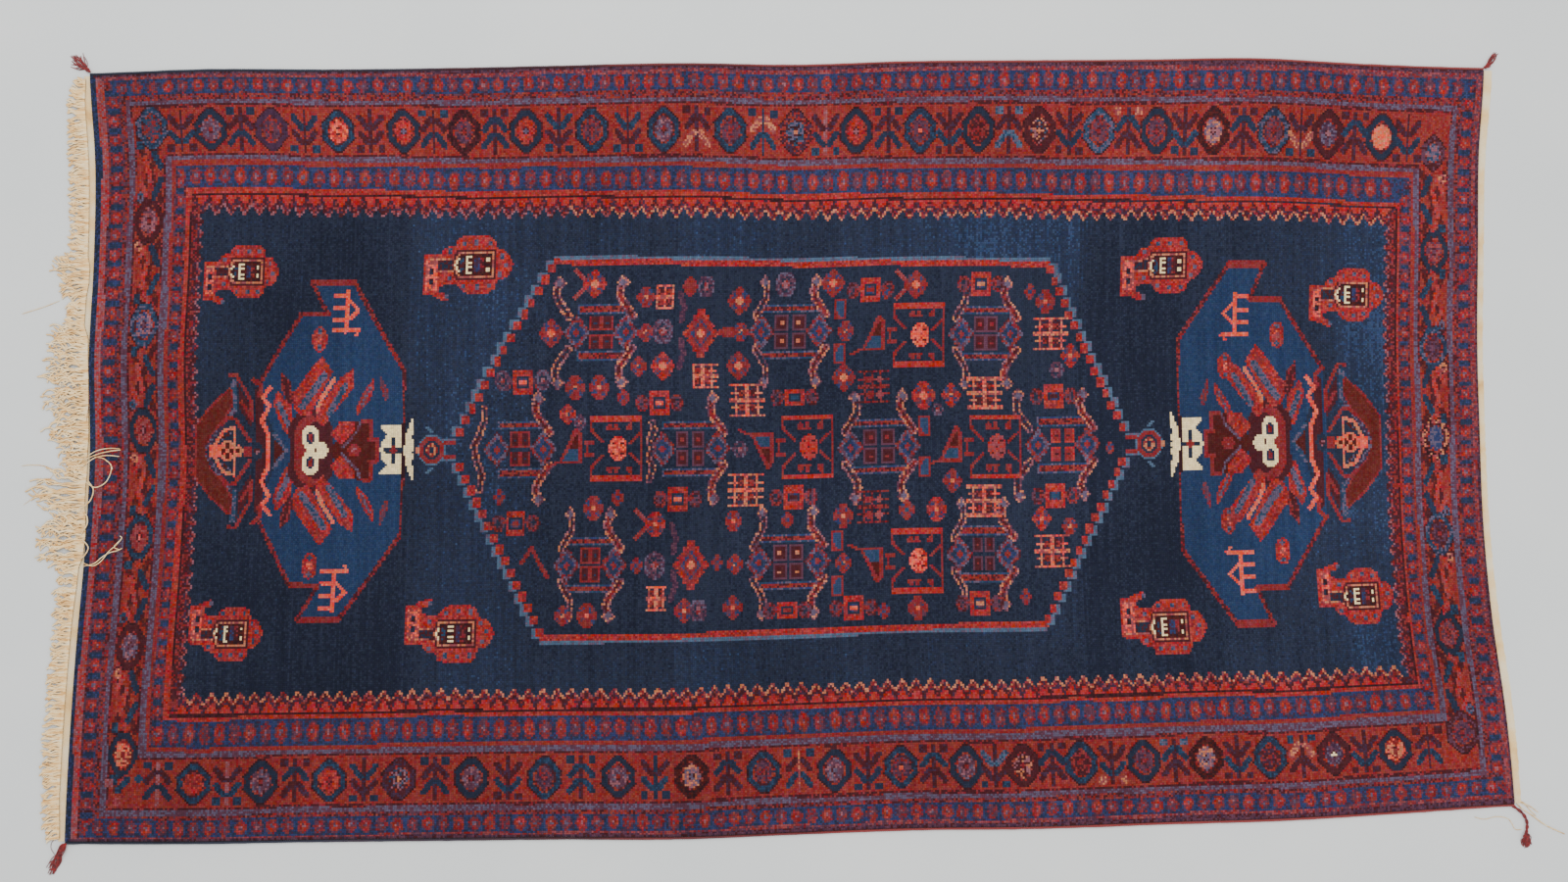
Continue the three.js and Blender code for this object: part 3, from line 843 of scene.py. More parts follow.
def v_stems(spot):
    """Two stems that spread from a flower like the arms of a V."""
    for q in (-1, 1):
        spot.line((CORAL, RED), 2.2, (-4, q * 1), (-9.5, q * 6.5))


# Diamond tiles: along, across, kind, half length, and the stretch of the hooks at each end, if any.
TILES = (
    (254, 244, "squares", 12.2, 1, 1), (349, 243.5, "dots", 14.6, -.8, 1),
    (448, 240.3, "cross", 12.4, -.8, 1), (213, 187.2, "squares", 11.4, 0, 1),
    (298, 186.5, "cross", 13.8, 0, 1), (393, 185.3, "cross", 14.4, -1, 1),
    (486, 185, "bright", 12.6, 1, 1), (249, 130.3, "squares", 11.6, -.8, 1),
    (347.5, 130.3, "dots", 14.6, -.8, 1), (445.5, 132, "cross", 12.2, -.8, 1),
)
# Two tiles have one long winding stem in place of their left hooks: the tile's place and the stem's route.
STEMS = (
    (213, 187.2, (-17.8, 20.5), (-17.4, 15), (-20, 8), (-23, 1.6), (-21.6, -6), (-18.8, -12), (-20, -20)),
    (298, 186.5, (-18.8, 13), (-18, 9.4), (-20.4, 4.4), (-19.2, 0), (-20.6, -4.4), (-18.6, -9.4),
     (-20.4, -15)),
)
FRAMED_FLOWERS = ((414, 240, ORANGE, 1), (261, 187, ORANGE, 1), (357, 186.5, SCARLET, -1),
                  (452, 184.5, CORAL, 1), (412, 129, ORANGE, -1))
GRIDS = ((285.5, 261, 4.6, 5.2, 0, 0), (305, 222, 5.4, 5.4, 0, 1), (327, 210, 6.6, 7.4, 1, 1),
         (447, 211, 6.4, 7, 1, 1), (481, 240, 6.6, 7.4, 1, 1), (326, 166, 6.8, 7.2, 1, 1),
         (446, 158, 6.6, 7, 1, 1), (480, 133, 6.6, 7.4, 1, 1), (282, 114, 4.6, 5.8, 0, 0))
LADDERS = ((391, 215), (390, 156))
FRAMED_SQUARES = ((215, 220, ORANGE, 1), (283, 209, ORANGE, 1), (351, 211, TEAL, .7), (389, 263, RED, 1),
                  (445, 265, PEACH, 1), (482, 209, MAROON, .9), (211.5, 151, RED, 1), (292, 162, ORANGE, 1),
                  (350, 162, MAROON, .9), (482, 160, TEAL, .9), (347, 107, RED, .7), (380, 107, ORANGE, 1),
                  (443, 108, PEACH, 1))
PINWHEELS = ((304, 243), (299, 130))
V_STEMS = ((250, 268), (412, 265), (281, 150))
# Small rosettes by their petals and heart: along, across and size.
ROSETTES = {
    (RED, ORANGE): (
        (229, 244, 6), (253, 217, 5.6), (323, 259, 6), (323, 227, 6), (370, 267, 6), (376, 220, 5.8),
        (412, 265, 6), (478, 256, 5.4), (250, 158, 5.6), (320, 151, 4.6), (248, 106, 5.6), (296, 108, 5.2),
        (320, 109, 5.2), (375, 152, 5.4), (412, 106, 5.4), (430, 168, 5)),
    (SCARLET, ORANGE): (
        (250, 268, 6), (285, 227, 6), (416, 210, 6.2), (491, 229, 5), (281, 150, 5.6), (422, 154, 5.6),
        (475, 149, 5)),
    (RED, TEAL): (
        (241, 217, 5.6), (273, 227, 4.2), (324, 243.5, 4.4), (377, 243, 4.6), (272, 130, 3.6),
        (321, 130, 4.2), (236, 106, 4.2), (375, 129, 4.4), (407, 154, 4.4), (489, 145, 4)),
    (SCARLET, TEAL): ((237, 204, 4.4), (430, 210, 5)),
    (RED, MAUVE): (
        (276, 261, 4.8), (276.5, 243.5, 4.4), (265, 212, 3.4), (203, 164, 3.3), (262, 163, 3.5),
        (312, 131, 3.2), (347, 151, 3.6), (395, 105, 3.6), (466, 111, 3.2), (510, 183, 2.6),
        (470, 261, 3.2), (397, 261, 2.6)),
}
DULL_FLOWERS = ((306, 266, 4.4), (285, 244, 5.2), (281, 130, 5.4), (303, 108, 4.4), (346, 267, 5.2),
                (205, 221, 4), (225, 221, 4), (423, 203, 2.6), (484, 222, 3.6), (323, 186, 3.6),
                (243, 200, 3), (298, 266, 3.4))
# Small flags and bent stems: along, across, and whether they are turned over.
SMALL_FLAGS = ((374, 254, 1), (374, 232, -1), (372, 140, 1), (372, 118, -1), (416, 195, 1), (416, 175, -1))
BENT_STEMS = ((294, 256, 1), (294, 233, -1), (290, 143, 1), (290, 120, -1))


def weave_lattice(cloth):
    """The small motifs that fill the medallion."""
    for x, y, *kind in TILES:
        diamond_tile(cloth.at(x, y), *kind)
    for x, y, *route in STEMS:
        cloth.at(x, y).line((PEACH, MAUVE, ROSE), 3.4, *route)
        cloth.at(x, y).line((MAROON, NAVY), 1.5, *route)
    for x, y, *kind in FRAMED_FLOWERS:
        framed_flower(cloth.at(x, y, 1, .97), *kind)
    for motif, table in ((grid, GRIDS), (ladder, LADDERS), (framed_square, FRAMED_SQUARES),
                         (pinwheel, PINWHEELS), (v_stems, V_STEMS)):
        for x, y, *kind in table:
            motif(cloth.at(x, y), *kind)
    for yarns, table in ROSETTES.items():
        for x, y, size in table:
            rosette(cloth.at(x, y), size, *yarns)
    for x, y, size in DULL_FLOWERS:
        dull_flower(cloth.at(x, y), size)
    cloth.at(298, 266).diamond(RED, 0, 0, 4.6, 5.6)
    cloth.at(318, 243.5).patch(RED, (-7, 0), (-2, 2.6), (3, 2), (3, -2), (-2, -2.6))
    for x, y, flip in SMALL_FLAGS:
        small_flag(cloth.at(x, y, 1, flip))
    for x, y, flip in BENT_STEMS:
        cloth.at(x, y, 1, flip).line((MAUVE, PLUM), 3, (-1, 7), (1.4, 0), (0, -7))
    cloth.at(221, 132).line(RED, 2, (-6, 0), (-1, 7), (3, -1), (7, -7))


def boteh(spot):
    """A curled leaf: a lobed red rim with grey-blue spots round a small panel, a hooked neck and a foot."""
    rim = (SCARLET, SCARLET, RED)
    spot.patch(rim, (-26, 5), (-17.5, 5.4), (-15.6, 8.6), (-10.4, 10), (-9, 13.4), (-6, 14.2), (7, 14.2),
               (9.8, 11.6), (10.6, 7.8), (14.2, 7.2), (16.8, 4.4), (18.8, 0), (16.8, -4.8), (14, -7.4),
               (11, -7.8), (9.6, -12), (6.6, -14.2), (-4, -14.2), (-7, -12.4), (-9.4, -9.6), (-15, -9.2),
               (-18, -11), (-18, -14.8), (-26, -14.8))
    spot.line(rim, 3.4, (-20, -14), (-14.4, -16))
    for p, q in ((-6, 10.8), (.2, 11), (6.6, 10.8), (13, 4), (14.8, -.8), (11.8, -5), (6.8, -10.8),
                 (.6, -11), (-6, -10.6), (-13.4, -6.4), (-13.4, 7), (-13.6, -15.8)):
        spot.box((SLATE, TEAL, SLATE), p, q, 1, 1.1)
    spot.patch((NAVY, MAROON), (-23, 2.6), (-9, 3.4), (-9, -3.4), (-19, -2.8), (-19, 1), (-23, 1))
    spot.line((PEACH, CORAL), 1, (-23.6, 2.6), (-11, 3.2))
    spot.line((PEACH, CORAL), 1, (-18.8, -2.8), (-11, -3))
    for long, high, yarns in ((9.6, 7.4, MAROON), (8.8, 6.6, (PEACH, PEACH, CORAL)), (7.8, 5.6, BROWNS)):
        spot.patch(yarns, (-long - 2.8, 0), (-long, high), (long, high), (long, -high), (-long, -high))
    spot.box((TEAL, MAROON), -6.6, 0, 1, 3.6)
    spot.box((GUARD, PLUM), .4, 0, 1.3, 3.8)
    spot.box((RED, MAROON), 3, 0, 1.2, 3.8)
    spot.box(CREAM, -4.6, 0, .5, 4.4)
    for q in (-3.9, -1.3, 1.3, 3.9):
        spot.box(CREAM, -3.2, q, 1.2, .5)
    for q in (2.4, -2.4):
        spot.box(CREAM, 6, q, .7, .9)
    spot.line(CREAM, .9, (-8.6, 3), (-10.4, 0), (-8.6, -3))
    spot.box((ORANGE, CORAL), -21.8, -5, 2.7, 7.4)
    for q in (-2.8, -8):
        spot.box((NAVY, SOOT), -21.8, q, 1.2, 1.5)


# Middle of each leaf's panel, and its stretch along and across: those on the near side are turned over.
BOTEHS = ((190, 278.5, 1, 1), (76.5, 276, .84, .92), (75, 99.2, .8, -.93), (184.5, 98, .98, -.97),
          (540.5, 273, .94, .98), (538, 94.5, .96, -.98), (635.5, 258.5, .85, .92), (635.5, 107, .85, -.96))

# The end ornaments: how each half's edge runs from the middle out and back, its red flowers, how far
# its comb stands from the usual place, and how far its two smallest leaves do.
LEFT_FAR = dict(
    edge=((37, 0), (38, 39), (12, 82.6), (-9, 82.6), (-.5, 67), (-13.5, 67), (-33, 34), (-36, 0)),
    flowers=((-4, 54.7),), comb=(0, 0), small=(0, 0))
LEFT_NEAR = dict(
    edge=((37, 0), (36.4, 41.8), (8.3, 82.4), (-11.6, 82), (-3, 66.2), (-17, 65), (-33, 35), (-36, 0)),
    flowers=((-7.4, 56.2),), comb=(-3.8, 0), small=(0, 0))
RIGHT_HALF = dict(
    edge=((37.4, 0), (37.2, 48.9), (11.6, 84), (-6.4, 84), (.5, 67.5), (-15, 67.5), (-37, 34.5), (-38, 0)),
    flowers=((-13.6, 50.8), (13.2, 36)), comb=(-.8, -8), small=(-4, -6.5))


def leaf(spot, skin, vein, width, start, end, *outline):
    """A broad slanting leaf with a band along its middle from start to end."""
    spot.patch(skin, *outline)
    spot.line(vein, width, start, end)


def pendant_half(spot, edge, flowers, comb, small):
    """Half of the end ornament: its blue ground, its outline, and the leaves that spread over it."""
    skin, vein = (SCARLET, RED), (SLATE, TEAL, SLATE)
    spot.patch(PENDANT, *edge)
    outline = (((MAROON, RED), 1.5), ((RED, RED, MAROON), 2.1), (RED, 3), ((RED, MAROON), 1.8), (RED, 2.6),
               ((RED, RED, MAROON), 2))
    for (yarns, width), start, end in zip(outline, edge, edge[1:]):
        spot.line(yarns, width, start, end)
    spot.patch(MAROON, (-36, 0), (-36, 30), (-32, 32), (-31, 0))
    leaf(spot, (RED, MAROON), MAROON, 1.4, (-21.4, 35), (-19, 24), (-23, 38.8), (-18, 33.4), (-17, 25),
         (-18.5, 19), (-23, 30.7))
    leaf(spot, skin, vein, 2.8, (-24.2, 23), (-19.6, 12), (-27.4, 23.2), (-25, 29.8), (-18, 21.4),
         (-16.6, 6), (-22, 9))
    spot.patch(MAROON, (-19, 0), (-20, 12), (-13, 21), (-4, 20), (2, 12), (2, 0))
    spot.patch(RED, (-17, 0), (-17, 9), (-14, 15), (-8, 18), (-5, 15), (-9, 13), (-13, 8), (-10, 0))
    leaf(spot, skin, vein, 3.6, (-12.8, 21.6), (-1.6, 37), (-17, 28.2), (-4.8, 44.5), (-2.4, 46),
         (2.8, 38.6), (-9.6, 16.6), (-15, 18), (-17.4, 22))
    leaf(spot, skin, vein, 3, (.4, 18), (8.6, 31.5), (-5.4, 20), (6.6, 36), (13.4, 40.4), (12.8, 30.7),
         (-2.6, 12), (-6, 14.5))
    spot.line((ORANGE, PEACH), 2, (-5.5, 19.5), (-3, 25.7), (3.5, 35.1))
    low = spot.at(*small)
    leaf(low, skin, (MAUVE, SLATE), 1.5, (16.3, 21.6), (21.2, 30.6), (14.2, 17), (14, 21), (17.4, 28),
         (22.8, 35.2), (23.4, 31), (20.6, 24.6))
    leaf(low, (RED, MAUVE), MAUVE, 1, (27, 34), (28.8, 27), (25.6, 38.4), (28, 33.4), (30.6, 28),
         (29, 23.4), (26.4, 29))
    for p, q in flowers:
        spot.disc((SCARLET, RED), p, q, 3.9, 6.2)
        for far in (-4, 4):
            spot.disc((SLATE, TEAL), p, q + far, 1.2, 1.2)
        spot.disc((ORANGE, CORAL), p, q, 1.3, 1.9)
    sign = spot.at(*comb)
    sign.line(ORANGE, 2.1, (8.9, 78), (8.9, 58.6))
    for q, end in ((76.6, 8.9), (70.6, 8.9), (64.4, 8.9), (58.8, 15.4)):
        sign.line(ORANGE, 2, (2.8, q), (end, q))
    sign.line(ORANGE, 1.7, (10, 73.4), (14.6, 68.9), (10, 64.4))
    sign.line(ORANGE, 1.5, (14.4, 58), (14, 56.4))


def pendant(spot, far, near):
    """The field's end ornament, its two halves alike, with leaves, rings, a heart and a bow."""
    pendant_half(spot, **far)
    pendant_half(spot.at(0, 0, tall=-1), **near)
    spot.both(zigzag_half)
    for q in (-6, 6.4):
        spot.disc(CREAM, -9, q, 4.3, 5.8)
        spot.disc(INDIGO, -9, q, 2.2, 3)
        spot.disc(RED, -8.8, q, 1.2, 1.9)
    spot.box(CREAM, -9, 0, 1.6, 1.5)
    spot.disc(CREAM, -3.4, 0, 3, 4.2)
    spot.both(heart_half)
    spot.disc(RED, 12.5, 0, 3.2, 3.2)
    spot.disc((ROSE, RED), 12.5, 0, 1.4, 1.4)
    spot.both(bow_half)
    spot.line(NAVY, 2.8, (28.6, 0), (35.4, 0))
    spot.line(NAVY, 2.8, (32, -5), (32, 5))
    spot.disc(RED, 32, 0, 1.6, 1.9)
    spot.both(ornament_half)
    spot.disc((ORANGE, PEACH), -50, 0, 4.4, 5)
    for p, q in ((-52.2, 0), (-47.8, 0), (-50, 2.4), (-50, -2.4)):
        spot.disc(BROWN, p, q, 1.3, 1.5)
    spot.box(ORANGE, -56.4, 0, 2.9, 2.7)
    spot.disc((ORANGE, PEACH), -44.6, 0, 2.2, 2.8)
    spot.disc(BROWN, -45.2, 0, 1, 1.2)
    spot.box(RED, -40.2, 0, 2, 2.4)
    spot.disc(NAVY, -35.4, 0, 3, 4.4)
    spot.disc((ROSE, MAROON), -35.4, 0, 1.4, 1.6)


def zigzag_half(spot):
    """Half of the wavy line behind the leaves."""
    spot.line(NAVY, 1.4, (-28.2, 0), (-28.2, 10), (-31, 18))
    spot.line(ORANGE, 2, (-30, 0), (-30, 8), (-33, 15), (-29, 22), (-32, 26), (-28.4, 31))
    spot.line(RED, 2.2, (-36.5, 35), (-33, 32), (-33.6, 27))
    spot.patch(BROWN, (-27, 0), (-27, 6), (-22, 0))
    spot.line((SLATE, TEAL), 1.8, (-27, 8.4), (-21, 0))


def heart_half(spot):
    """Half of the brown heart."""
    spot.patch(BROWN, (0, 0), (3, 4), (14, 14.4), (21, 14.4), (21, 6), (24, 6), (24, 0))
    spot.line(RED, 2, (17, 14.4), (21, 14.4), (21, 7))
    spot.line(RED, 2, (20, 5.4), (24, 5.4), (24, 0))
    spot.patch((SCARLET, RED), (.6, 8), (5.6, 14), (13.4, 14), (13.4, 10.6), (6, 2.4))
    spot.line((SLATE, MAUVE), 1.3, (6.4, 1.4), (14.4, 9.6), (15.4, 13.4))


def bow_half(spot):
    """Half of the cream bow."""
    spot.patch(CREAM, (25.4, 0), (25.8, 3.4), (29, 7.6), (25.4, 11.2), (25.8, 12), (36.2, 12), (36.2, 0))
    spot.box(SOOT, 37.2, 6, .9, 7.4)
    spot.patch(CREAM, (38.2, 2), (38.4, 8), (41.8, 16), (42.4, 9.4), (41, 6.6), (42, 3), (41, 0))
    spot.disc(CREAM, 39.2, 0, 2.4, 3.8)


def ornament_half(spot):
    """Half of the bracket that ties the pendant to the border, banded like a bird's wing."""
    spot.patch(RED, (-66, 0), (-66.4, 12), (-58, 23), (-47.6, 32), (-46, 24), (-51, 15), (-58, 8),
               (-60.6, 0))
    spot.patch(EMBER, (-65, 0), (-65.4, 12), (-57.6, 21.6), (-48.4, 30), (-47, 24), (-52, 15.6),
               (-58.6, 8.4), (-61, 0))
    spot.patch(NAVY, (-60, 0), (-57, 8), (-50, 17), (-42, 8), (-41, 0))
    spot.line((PLUM, SLATE), 1.7, (-60, 2), (-56, 8.4), (-46.4, 20))
    spot.line((TEAL, SLATE), 2.4, (-46, 20), (-46.4, 34))
    spot.patch(MAROON, (-44.6, 33), (-38.4, 22), (-38.4, 12), (-43.6, 20))
    spot.line(RED, 1.7, (-48.6, 37), (-45, 37.4), (-37.8, 24), (-37.6, 15), (-42.8, 24))
    spot.line(RED, 1.8, (-53, 13), (-49, 16.4), (-46, 15.6), (-39, 5))
    spot.line((ORANGE, PEACH), 1.7, (-56.6, 2.4), (-52, 10), (-46.6, 11.6), (-46.6, 4))
    spot.line((SLATE, BROWN), 1.2, (-52.6, 6), (-48.6, 9))


def weave_chart():
    """The whole rug in knots: an array of yarn numbers, one a knot."""
    chance = np.random.default_rng(7)
    knots = np.zeros((KNOTS_ALONG, KNOTS_ACROSS), np.uint8)
    weave_field(knots, chance)
    field = knots.copy()
    strips = weave_borders(knots)
    across = np.tile(np.arange(KNOTS_ACROSS) + .5, (KNOTS_ALONG, 1))
    cloth = Draft(knots, np.arange(KNOTS_ALONG) + .5, across)
    weave_guards(strips, chance)
    weave_teeth(strips, chance)
    weave_main(strips)
    weave_corners(cloth)
    weave_medallion(cloth, field)
    weave_lattice(cloth)
    for x, y, wide, tall in BOTEHS:
        boteh(cloth.at(x, y, wide, tall))
    pendant(cloth.at(118, 187.8), LEFT_FAR, LEFT_NEAR)
    pendant(cloth.at(583, 184, -1, 1.06), RIGHT_HALF, RIGHT_HALF)
    return knots


# ---- Materials ----


def wool_pile_material(rug):
    """Hand-spun wool cut to a short pile: matt, with painted shade between its knots, and a little off shade
    from one knot to the next, as small dye lots are. Each knot takes its yarn from the chart."""
    material, tree = new_material("hand-knotted wool pile")
    knots = node(tree, "UVMap", uv_map="Knots").outputs["UV"]
    cell = node(tree, "VectorMath", operation="FLOOR", i0=knots).outputs[0]
    turn = node(tree, "VectorMath", operation="MODULO", i0=cell, i1=(2, 2, 2)).outputs[0]
    turn = node(tree, "SeparateXYZ", Vector=turn).outputs
    yarns = node(tree, "Attribute", attribute_name="Yarns").outputs
    of_face = node(tree, "SeparateColor", Color=yarns["Color"]).outputs
    near = node(tree, "Mix", i0=turn["X"], i2=of_face["Red"], i3=of_face["Green"]).outputs[0]
    far = node(tree, "Mix", i0=turn["X"], i2=of_face["Blue"], i3=yarns["Alpha"]).outputs[0]
    yarn = node(tree, "Mix", i0=turn["Y"], i2=near, i3=far).outputs[0]
    place = node(tree, "Math", operation="MULTIPLY", i0=yarn, i1=1 / len(YARNS)).outputs[0]
    shades = [((number - 0.5) / len(YARNS), getattr(rug.yarns, name)) for number, name in enumerate(YARNS)]
    dyed = node(tree, "ValToRGB", stops=[(max(at, 0), shade) for at, shade in shades], Fac=place)
    dyed.color_ramp.interpolation = "CONSTANT"

    # each knot's own shade, the fibres' painted glints, and slow changes where the rug has worn; past these,
    # painted light makes the pile brighter towards its far right corner and darker towards its near left one
    chance = node(tree, "TexWhiteNoise", noise_dimensions="2D", Vector=cell).outputs
    lot = node(tree, "SeparateColor", Color=chance["Color"]).outputs
    here = node(tree, "TexCoord").outputs["Object"]
    fibres = node(tree, "TexNoise", Vector=here, Scale=1 / rug.finish.fibre_grain, Detail=2).outputs["Fac"]
    wear = node(tree, "TexNoise", Vector=here, Scale=1 / (320 * MM), Detail=3).outputs["Fac"]
    rows = node(tree, "Mapping", Vector=here, Scale=(1 / (9 * MM), 1 / (260 * MM), 1)).outputs[0]
    streak = node(tree, "TexNoise", Vector=rows, Scale=1, Detail=1).outputs["Fac"]
    spread = rug.finish.knot_variation
    value = node(tree, "MapRange", Value=lot["Blue"], To_Min=1 - spread, To_Max=1 + spread).outputs[0]
    for part, amount in ((fibres, 0.5), (wear, 0.34), (streak, 0.3)):
        part = node(tree, "MapRange", Value=part, From_Min=0.25, From_Max=0.75, To_Min=1 - amount / 2,
                    To_Max=1 + amount / 2).outputs[0]
        value = node(tree, "Math", operation="MULTIPLY", i0=value, i1=part).outputs[0]
    # painted light: the pile is brighter towards its far right and darker towards its near left
    across = node(tree, "VectorMath", operation="DOT_PRODUCT", i0=here, i1=(0.4, 0.6, 0)).outputs["Value"]
    painted_light_slope = node(tree, "MapRange", Value=across, From_Min=-0.8, From_Max=0.8, To_Min=0.84, To_Max=1.1)
    value = node(tree, "Math", operation="MULTIPLY", i0=value, i1=painted_light_slope.outputs[0]).outputs[0]
    hue = node(tree, "MapRange", Value=lot["Red"], To_Min=0.49, To_Max=0.51).outputs[0]
    depth = node(tree, "MapRange", Value=lot["Green"], To_Min=0.9, To_Max=1.03).outputs[0]
    shade = node(tree, "HueSaturation", Hue=hue, Saturation=depth, Value=value, Color=dyed.outputs["Color"])

    # a knot stands highest in its middle, and painted shade darkens it at its foot
    inside = node(tree, "VectorMath", operation="FRACTION", i0=knots).outputs[0]
    inside = node(tree, "VectorMath", operation="SUBTRACT", i0=inside, i1=(0.5, 0.5, 0)).outputs[0]
    off = node(tree, "VectorMath", operation="LENGTH", i0=inside).outputs["Value"]
    dome = node(tree, "MapRange", Value=off, From_Min=0.15, From_Max=0.7, To_Min=1, To_Max=0).outputs[0]
    # painted shade: each knot is darker towards its foot
    foot = node(tree, "MapRange", Value=dome, To_Min=0.72, To_Max=1.06).outputs[0]
    final = node(tree, "VectorMath", operation="SCALE", i0=shade.outputs["Color"], Scale=foot).outputs[0]
    height = node(tree, "Math", operation="ADD", i0=dome, i1=fibres).outputs[0]
    bump = node(tree, "Bump", Strength=0.55, Distance=0.7 * MM, Height=height).outputs[0]
    return finish_fibre(material, final, bump, 0.95, Specular_IOR_Level=0.1,
                        Sheen_Weight=rug.finish.sheen, Sheen_Roughness=0.5, Sheen_Tint=(0.85, 0.85, 1, 1))


def rug_back_material(rug):
    """The woven underside: the knots' backs in rows between thin cotton wefts."""
    material, tree = new_material("knotted wool back")
    here = node(tree, "TexCoord").outputs["Object"]
    cells = node(tree, "Mapping", Vector=here, Scale=(1 / (3.5 * MM), 1 / (3.5 * MM), 1)).outputs[0]
    backs = node(tree, "TexVoronoi", Vector=cells, Scale=1).outputs
    tone = node(tree, "SeparateColor", Color=backs["Color"]).outputs["Red"]
    shade = node(tree, "ValToRGB", Fac=tone, stops=(
        (0, rug.yarns.navy), (0.45, rug.yarns.plum), (0.7, rug.yarns.brick), (1, rug.yarns.red)))
    bump = node(tree, "Bump", Strength=0.6, Distance=0.5 * MM, Height=backs["Distance"], invert=True)
    return finish_fibre(material, shade.outputs["Color"], bump.outputs[0], 0.9)


def wrapped_wool_material(rug):
    """Wool wound tight round the side warps: dull, with a fine ridge for each turn, navy at the left end
    and madder red past it."""
    material, tree = new_material("overcast wool cord")
    here = node(tree, "TexCoord").outputs["Object"]
    x = node(tree, "SeparateXYZ", Vector=here).outputs["X"]
    blotch = node(tree, "TexNoise", Vector=here, Scale=1 / (90 * MM), Detail=2).outputs["Fac"]
    drift = node(tree, "Math", operation="MULTIPLY_ADD", i0=blotch, i1=0.8, i2=-0.4).outputs[0]
    at = node(tree, "Math", operation="ADD", i0=x, i1=drift).outputs[0]
    share = node(tree, "MapRange", Value=at, From_Min=-1.2, From_Max=1.2).outputs[0]
    wound = node(tree, "ValToRGB", Fac=share, stops=(
        (0, rug.yarns.night), (0.15, rug.yarns.navy), (0.32, rug.yarns.maroon), (0.55, rug.yarns.cord),
        (1, rug.yarns.cord)))
    fine = node(tree, "TexNoise", Vector=here, Scale=1 / (1.5 * MM), Detail=2).outputs["Fac"]
    value = node(tree, "MapRange", Value=fine, To_Min=0.6, To_Max=1.4).outputs[0]
    shade = node(tree, "HueSaturation", Value=value, Color=wound.outputs["Color"]).outputs[0]
    bump = node(tree, "Bump", Strength=0.5, Distance=0.4 * MM, Height=fine).outputs[0]
    return finish_fibre(material, shade, bump, 0.9, Sheen_Weight=0.2)


def cotton_weave_material(rug):
    """Plain-woven undyed cotton at the ends: cream, in fine ribs across the warps, soiled in places."""
    material, tree = new_material("plain-woven undyed cotton")
    here = node(tree, "TexCoord").outputs["Object"]
    ribs = node(tree, "Mapping", Vector=here, Scale=(1 / (2.2 * MM), 1 / (3.5 * MM), 1)).outputs[0]
    weave = node(tree, "TexWave", Vector=ribs, Scale=0.5, Distortion=1.2, Detail=1, Detail_Scale=2)
    threads = node(tree, "TexNoise", Vector=ribs, Scale=1.4, Detail=2).outputs["Fac"]
    soil = node(tree, "TexNoise", Vector=here, Scale=1 / (50 * MM), Detail=3).outputs["Fac"]
    share = node(tree, "MapRange", Value=soil, From_Min=0.35, From_Max=0.75).outputs[0]
    cloth = node(tree, "ValToRGB", Fac=share, stops=(
        (0, rug.yarns.bleached), (0.6, rug.yarns.cotton), (1, rug.yarns.soiled)))
    mixed = node(tree, "Math", operation="MULTIPLY", i0=weave.outputs["Fac"], i1=threads).outputs[0]
    value = node(tree, "MapRange", Value=mixed, From_Max=0.7, To_Min=0.78, To_Max=1.1).outputs[0]
    shade = node(tree, "HueSaturation", Value=value, Color=cloth.outputs["Color"]).outputs[0]
    bump = node(tree, "Bump", Strength=0.6, Distance=0.5 * MM, Height=mixed).outputs[0]
    return finish_fibre(material, shade, bump, 0.92)


def cotton_yarn_material(rug):
    """Plied cotton warp ends: cream and a little brighter where they are clean, yellowed where handled, and
    darker down their sides, where shade is painted."""
    material, tree = new_material("plied undyed cotton yarn")
    here = node(tree, "TexCoord").outputs["Object"]
    lengths = node(tree, "Mapping", Vector=here, Scale=(1 / (30 * MM), 1 / (4 * MM), 1 / (4 * MM)))
    soil = node(tree, "TexNoise", Vector=lengths.outputs[0], Scale=1, Detail=2).outputs["Fac"]
    share = node(tree, "MapRange", Value=soil, From_Min=0.3, From_Max=0.75).outputs[0]
    yarn = node(tree, "ValToRGB", Fac=share, stops=(
        (0, rug.yarns.bleached), (0.45, rug.yarns.cotton), (0.85, rug.yarns.soiled)))
    plies = node(tree, "TexWave", Vector=here, Scale=1 / (5 * MM), Distortion=3, Detail=1,
                 bands_direction="DIAGONAL").outputs["Fac"]
    value = node(tree, "MapRange", Value=plies, To_Min=0.92, To_Max=1.08).outputs[0]
    # painted shade: the yarns' sides and undersides, turned away from the light, are darker
    upward = node(tree, "SeparateXYZ", Vector=node(tree, "TexCoord").outputs["Normal"]).outputs["Z"]
    painted_side_shade = node(tree, "MapRange", Value=upward, From_Min=0, From_Max=0.8, To_Min=0.4, To_Max=1).outputs[0]
    value = node(tree, "Math", operation="MULTIPLY", i0=value, i1=painted_side_shade).outputs[0]
    shade = node(tree, "HueSaturation", Value=value, Color=yarn.outputs["Color"]).outputs[0]
    bump = node(tree, "Bump", Strength=0.5, Distance=0.3 * MM, Height=plies).outputs[0]
    return finish_fibre(material, shade, bump, 0.9, Sheen_Weight=0.15)


def dyed_yarn_material(name, shade, other):
    """Loose dyed wool: matt, its fibres lighter and darker along the yarn."""
    material, tree = new_material(name)
    here = node(tree, "TexCoord").outputs["Object"]
    fibre = node(tree, "TexNoise", Vector=here, Scale=1 / (4 * MM), Detail=3).outputs["Fac"]
    dyed = node(tree, "ValToRGB", Fac=fibre, stops=((0.3, shade), (0.7, other)))
    fine = node(tree, "TexNoise", Vector=here, Scale=1 / (0.8 * MM), Detail=1).outputs["Fac"]
    bump = node(tree, "Bump", Strength=0.5, Distance=0.3 * MM, Height=fine).outputs[0]
    return finish_fibre(material, dyed.outputs["Color"], bump, 0.95, Sheen_Weight=0.2)


# ---- Pieces ----


PILE_SIDE, BACK_SIDE = 0, 1


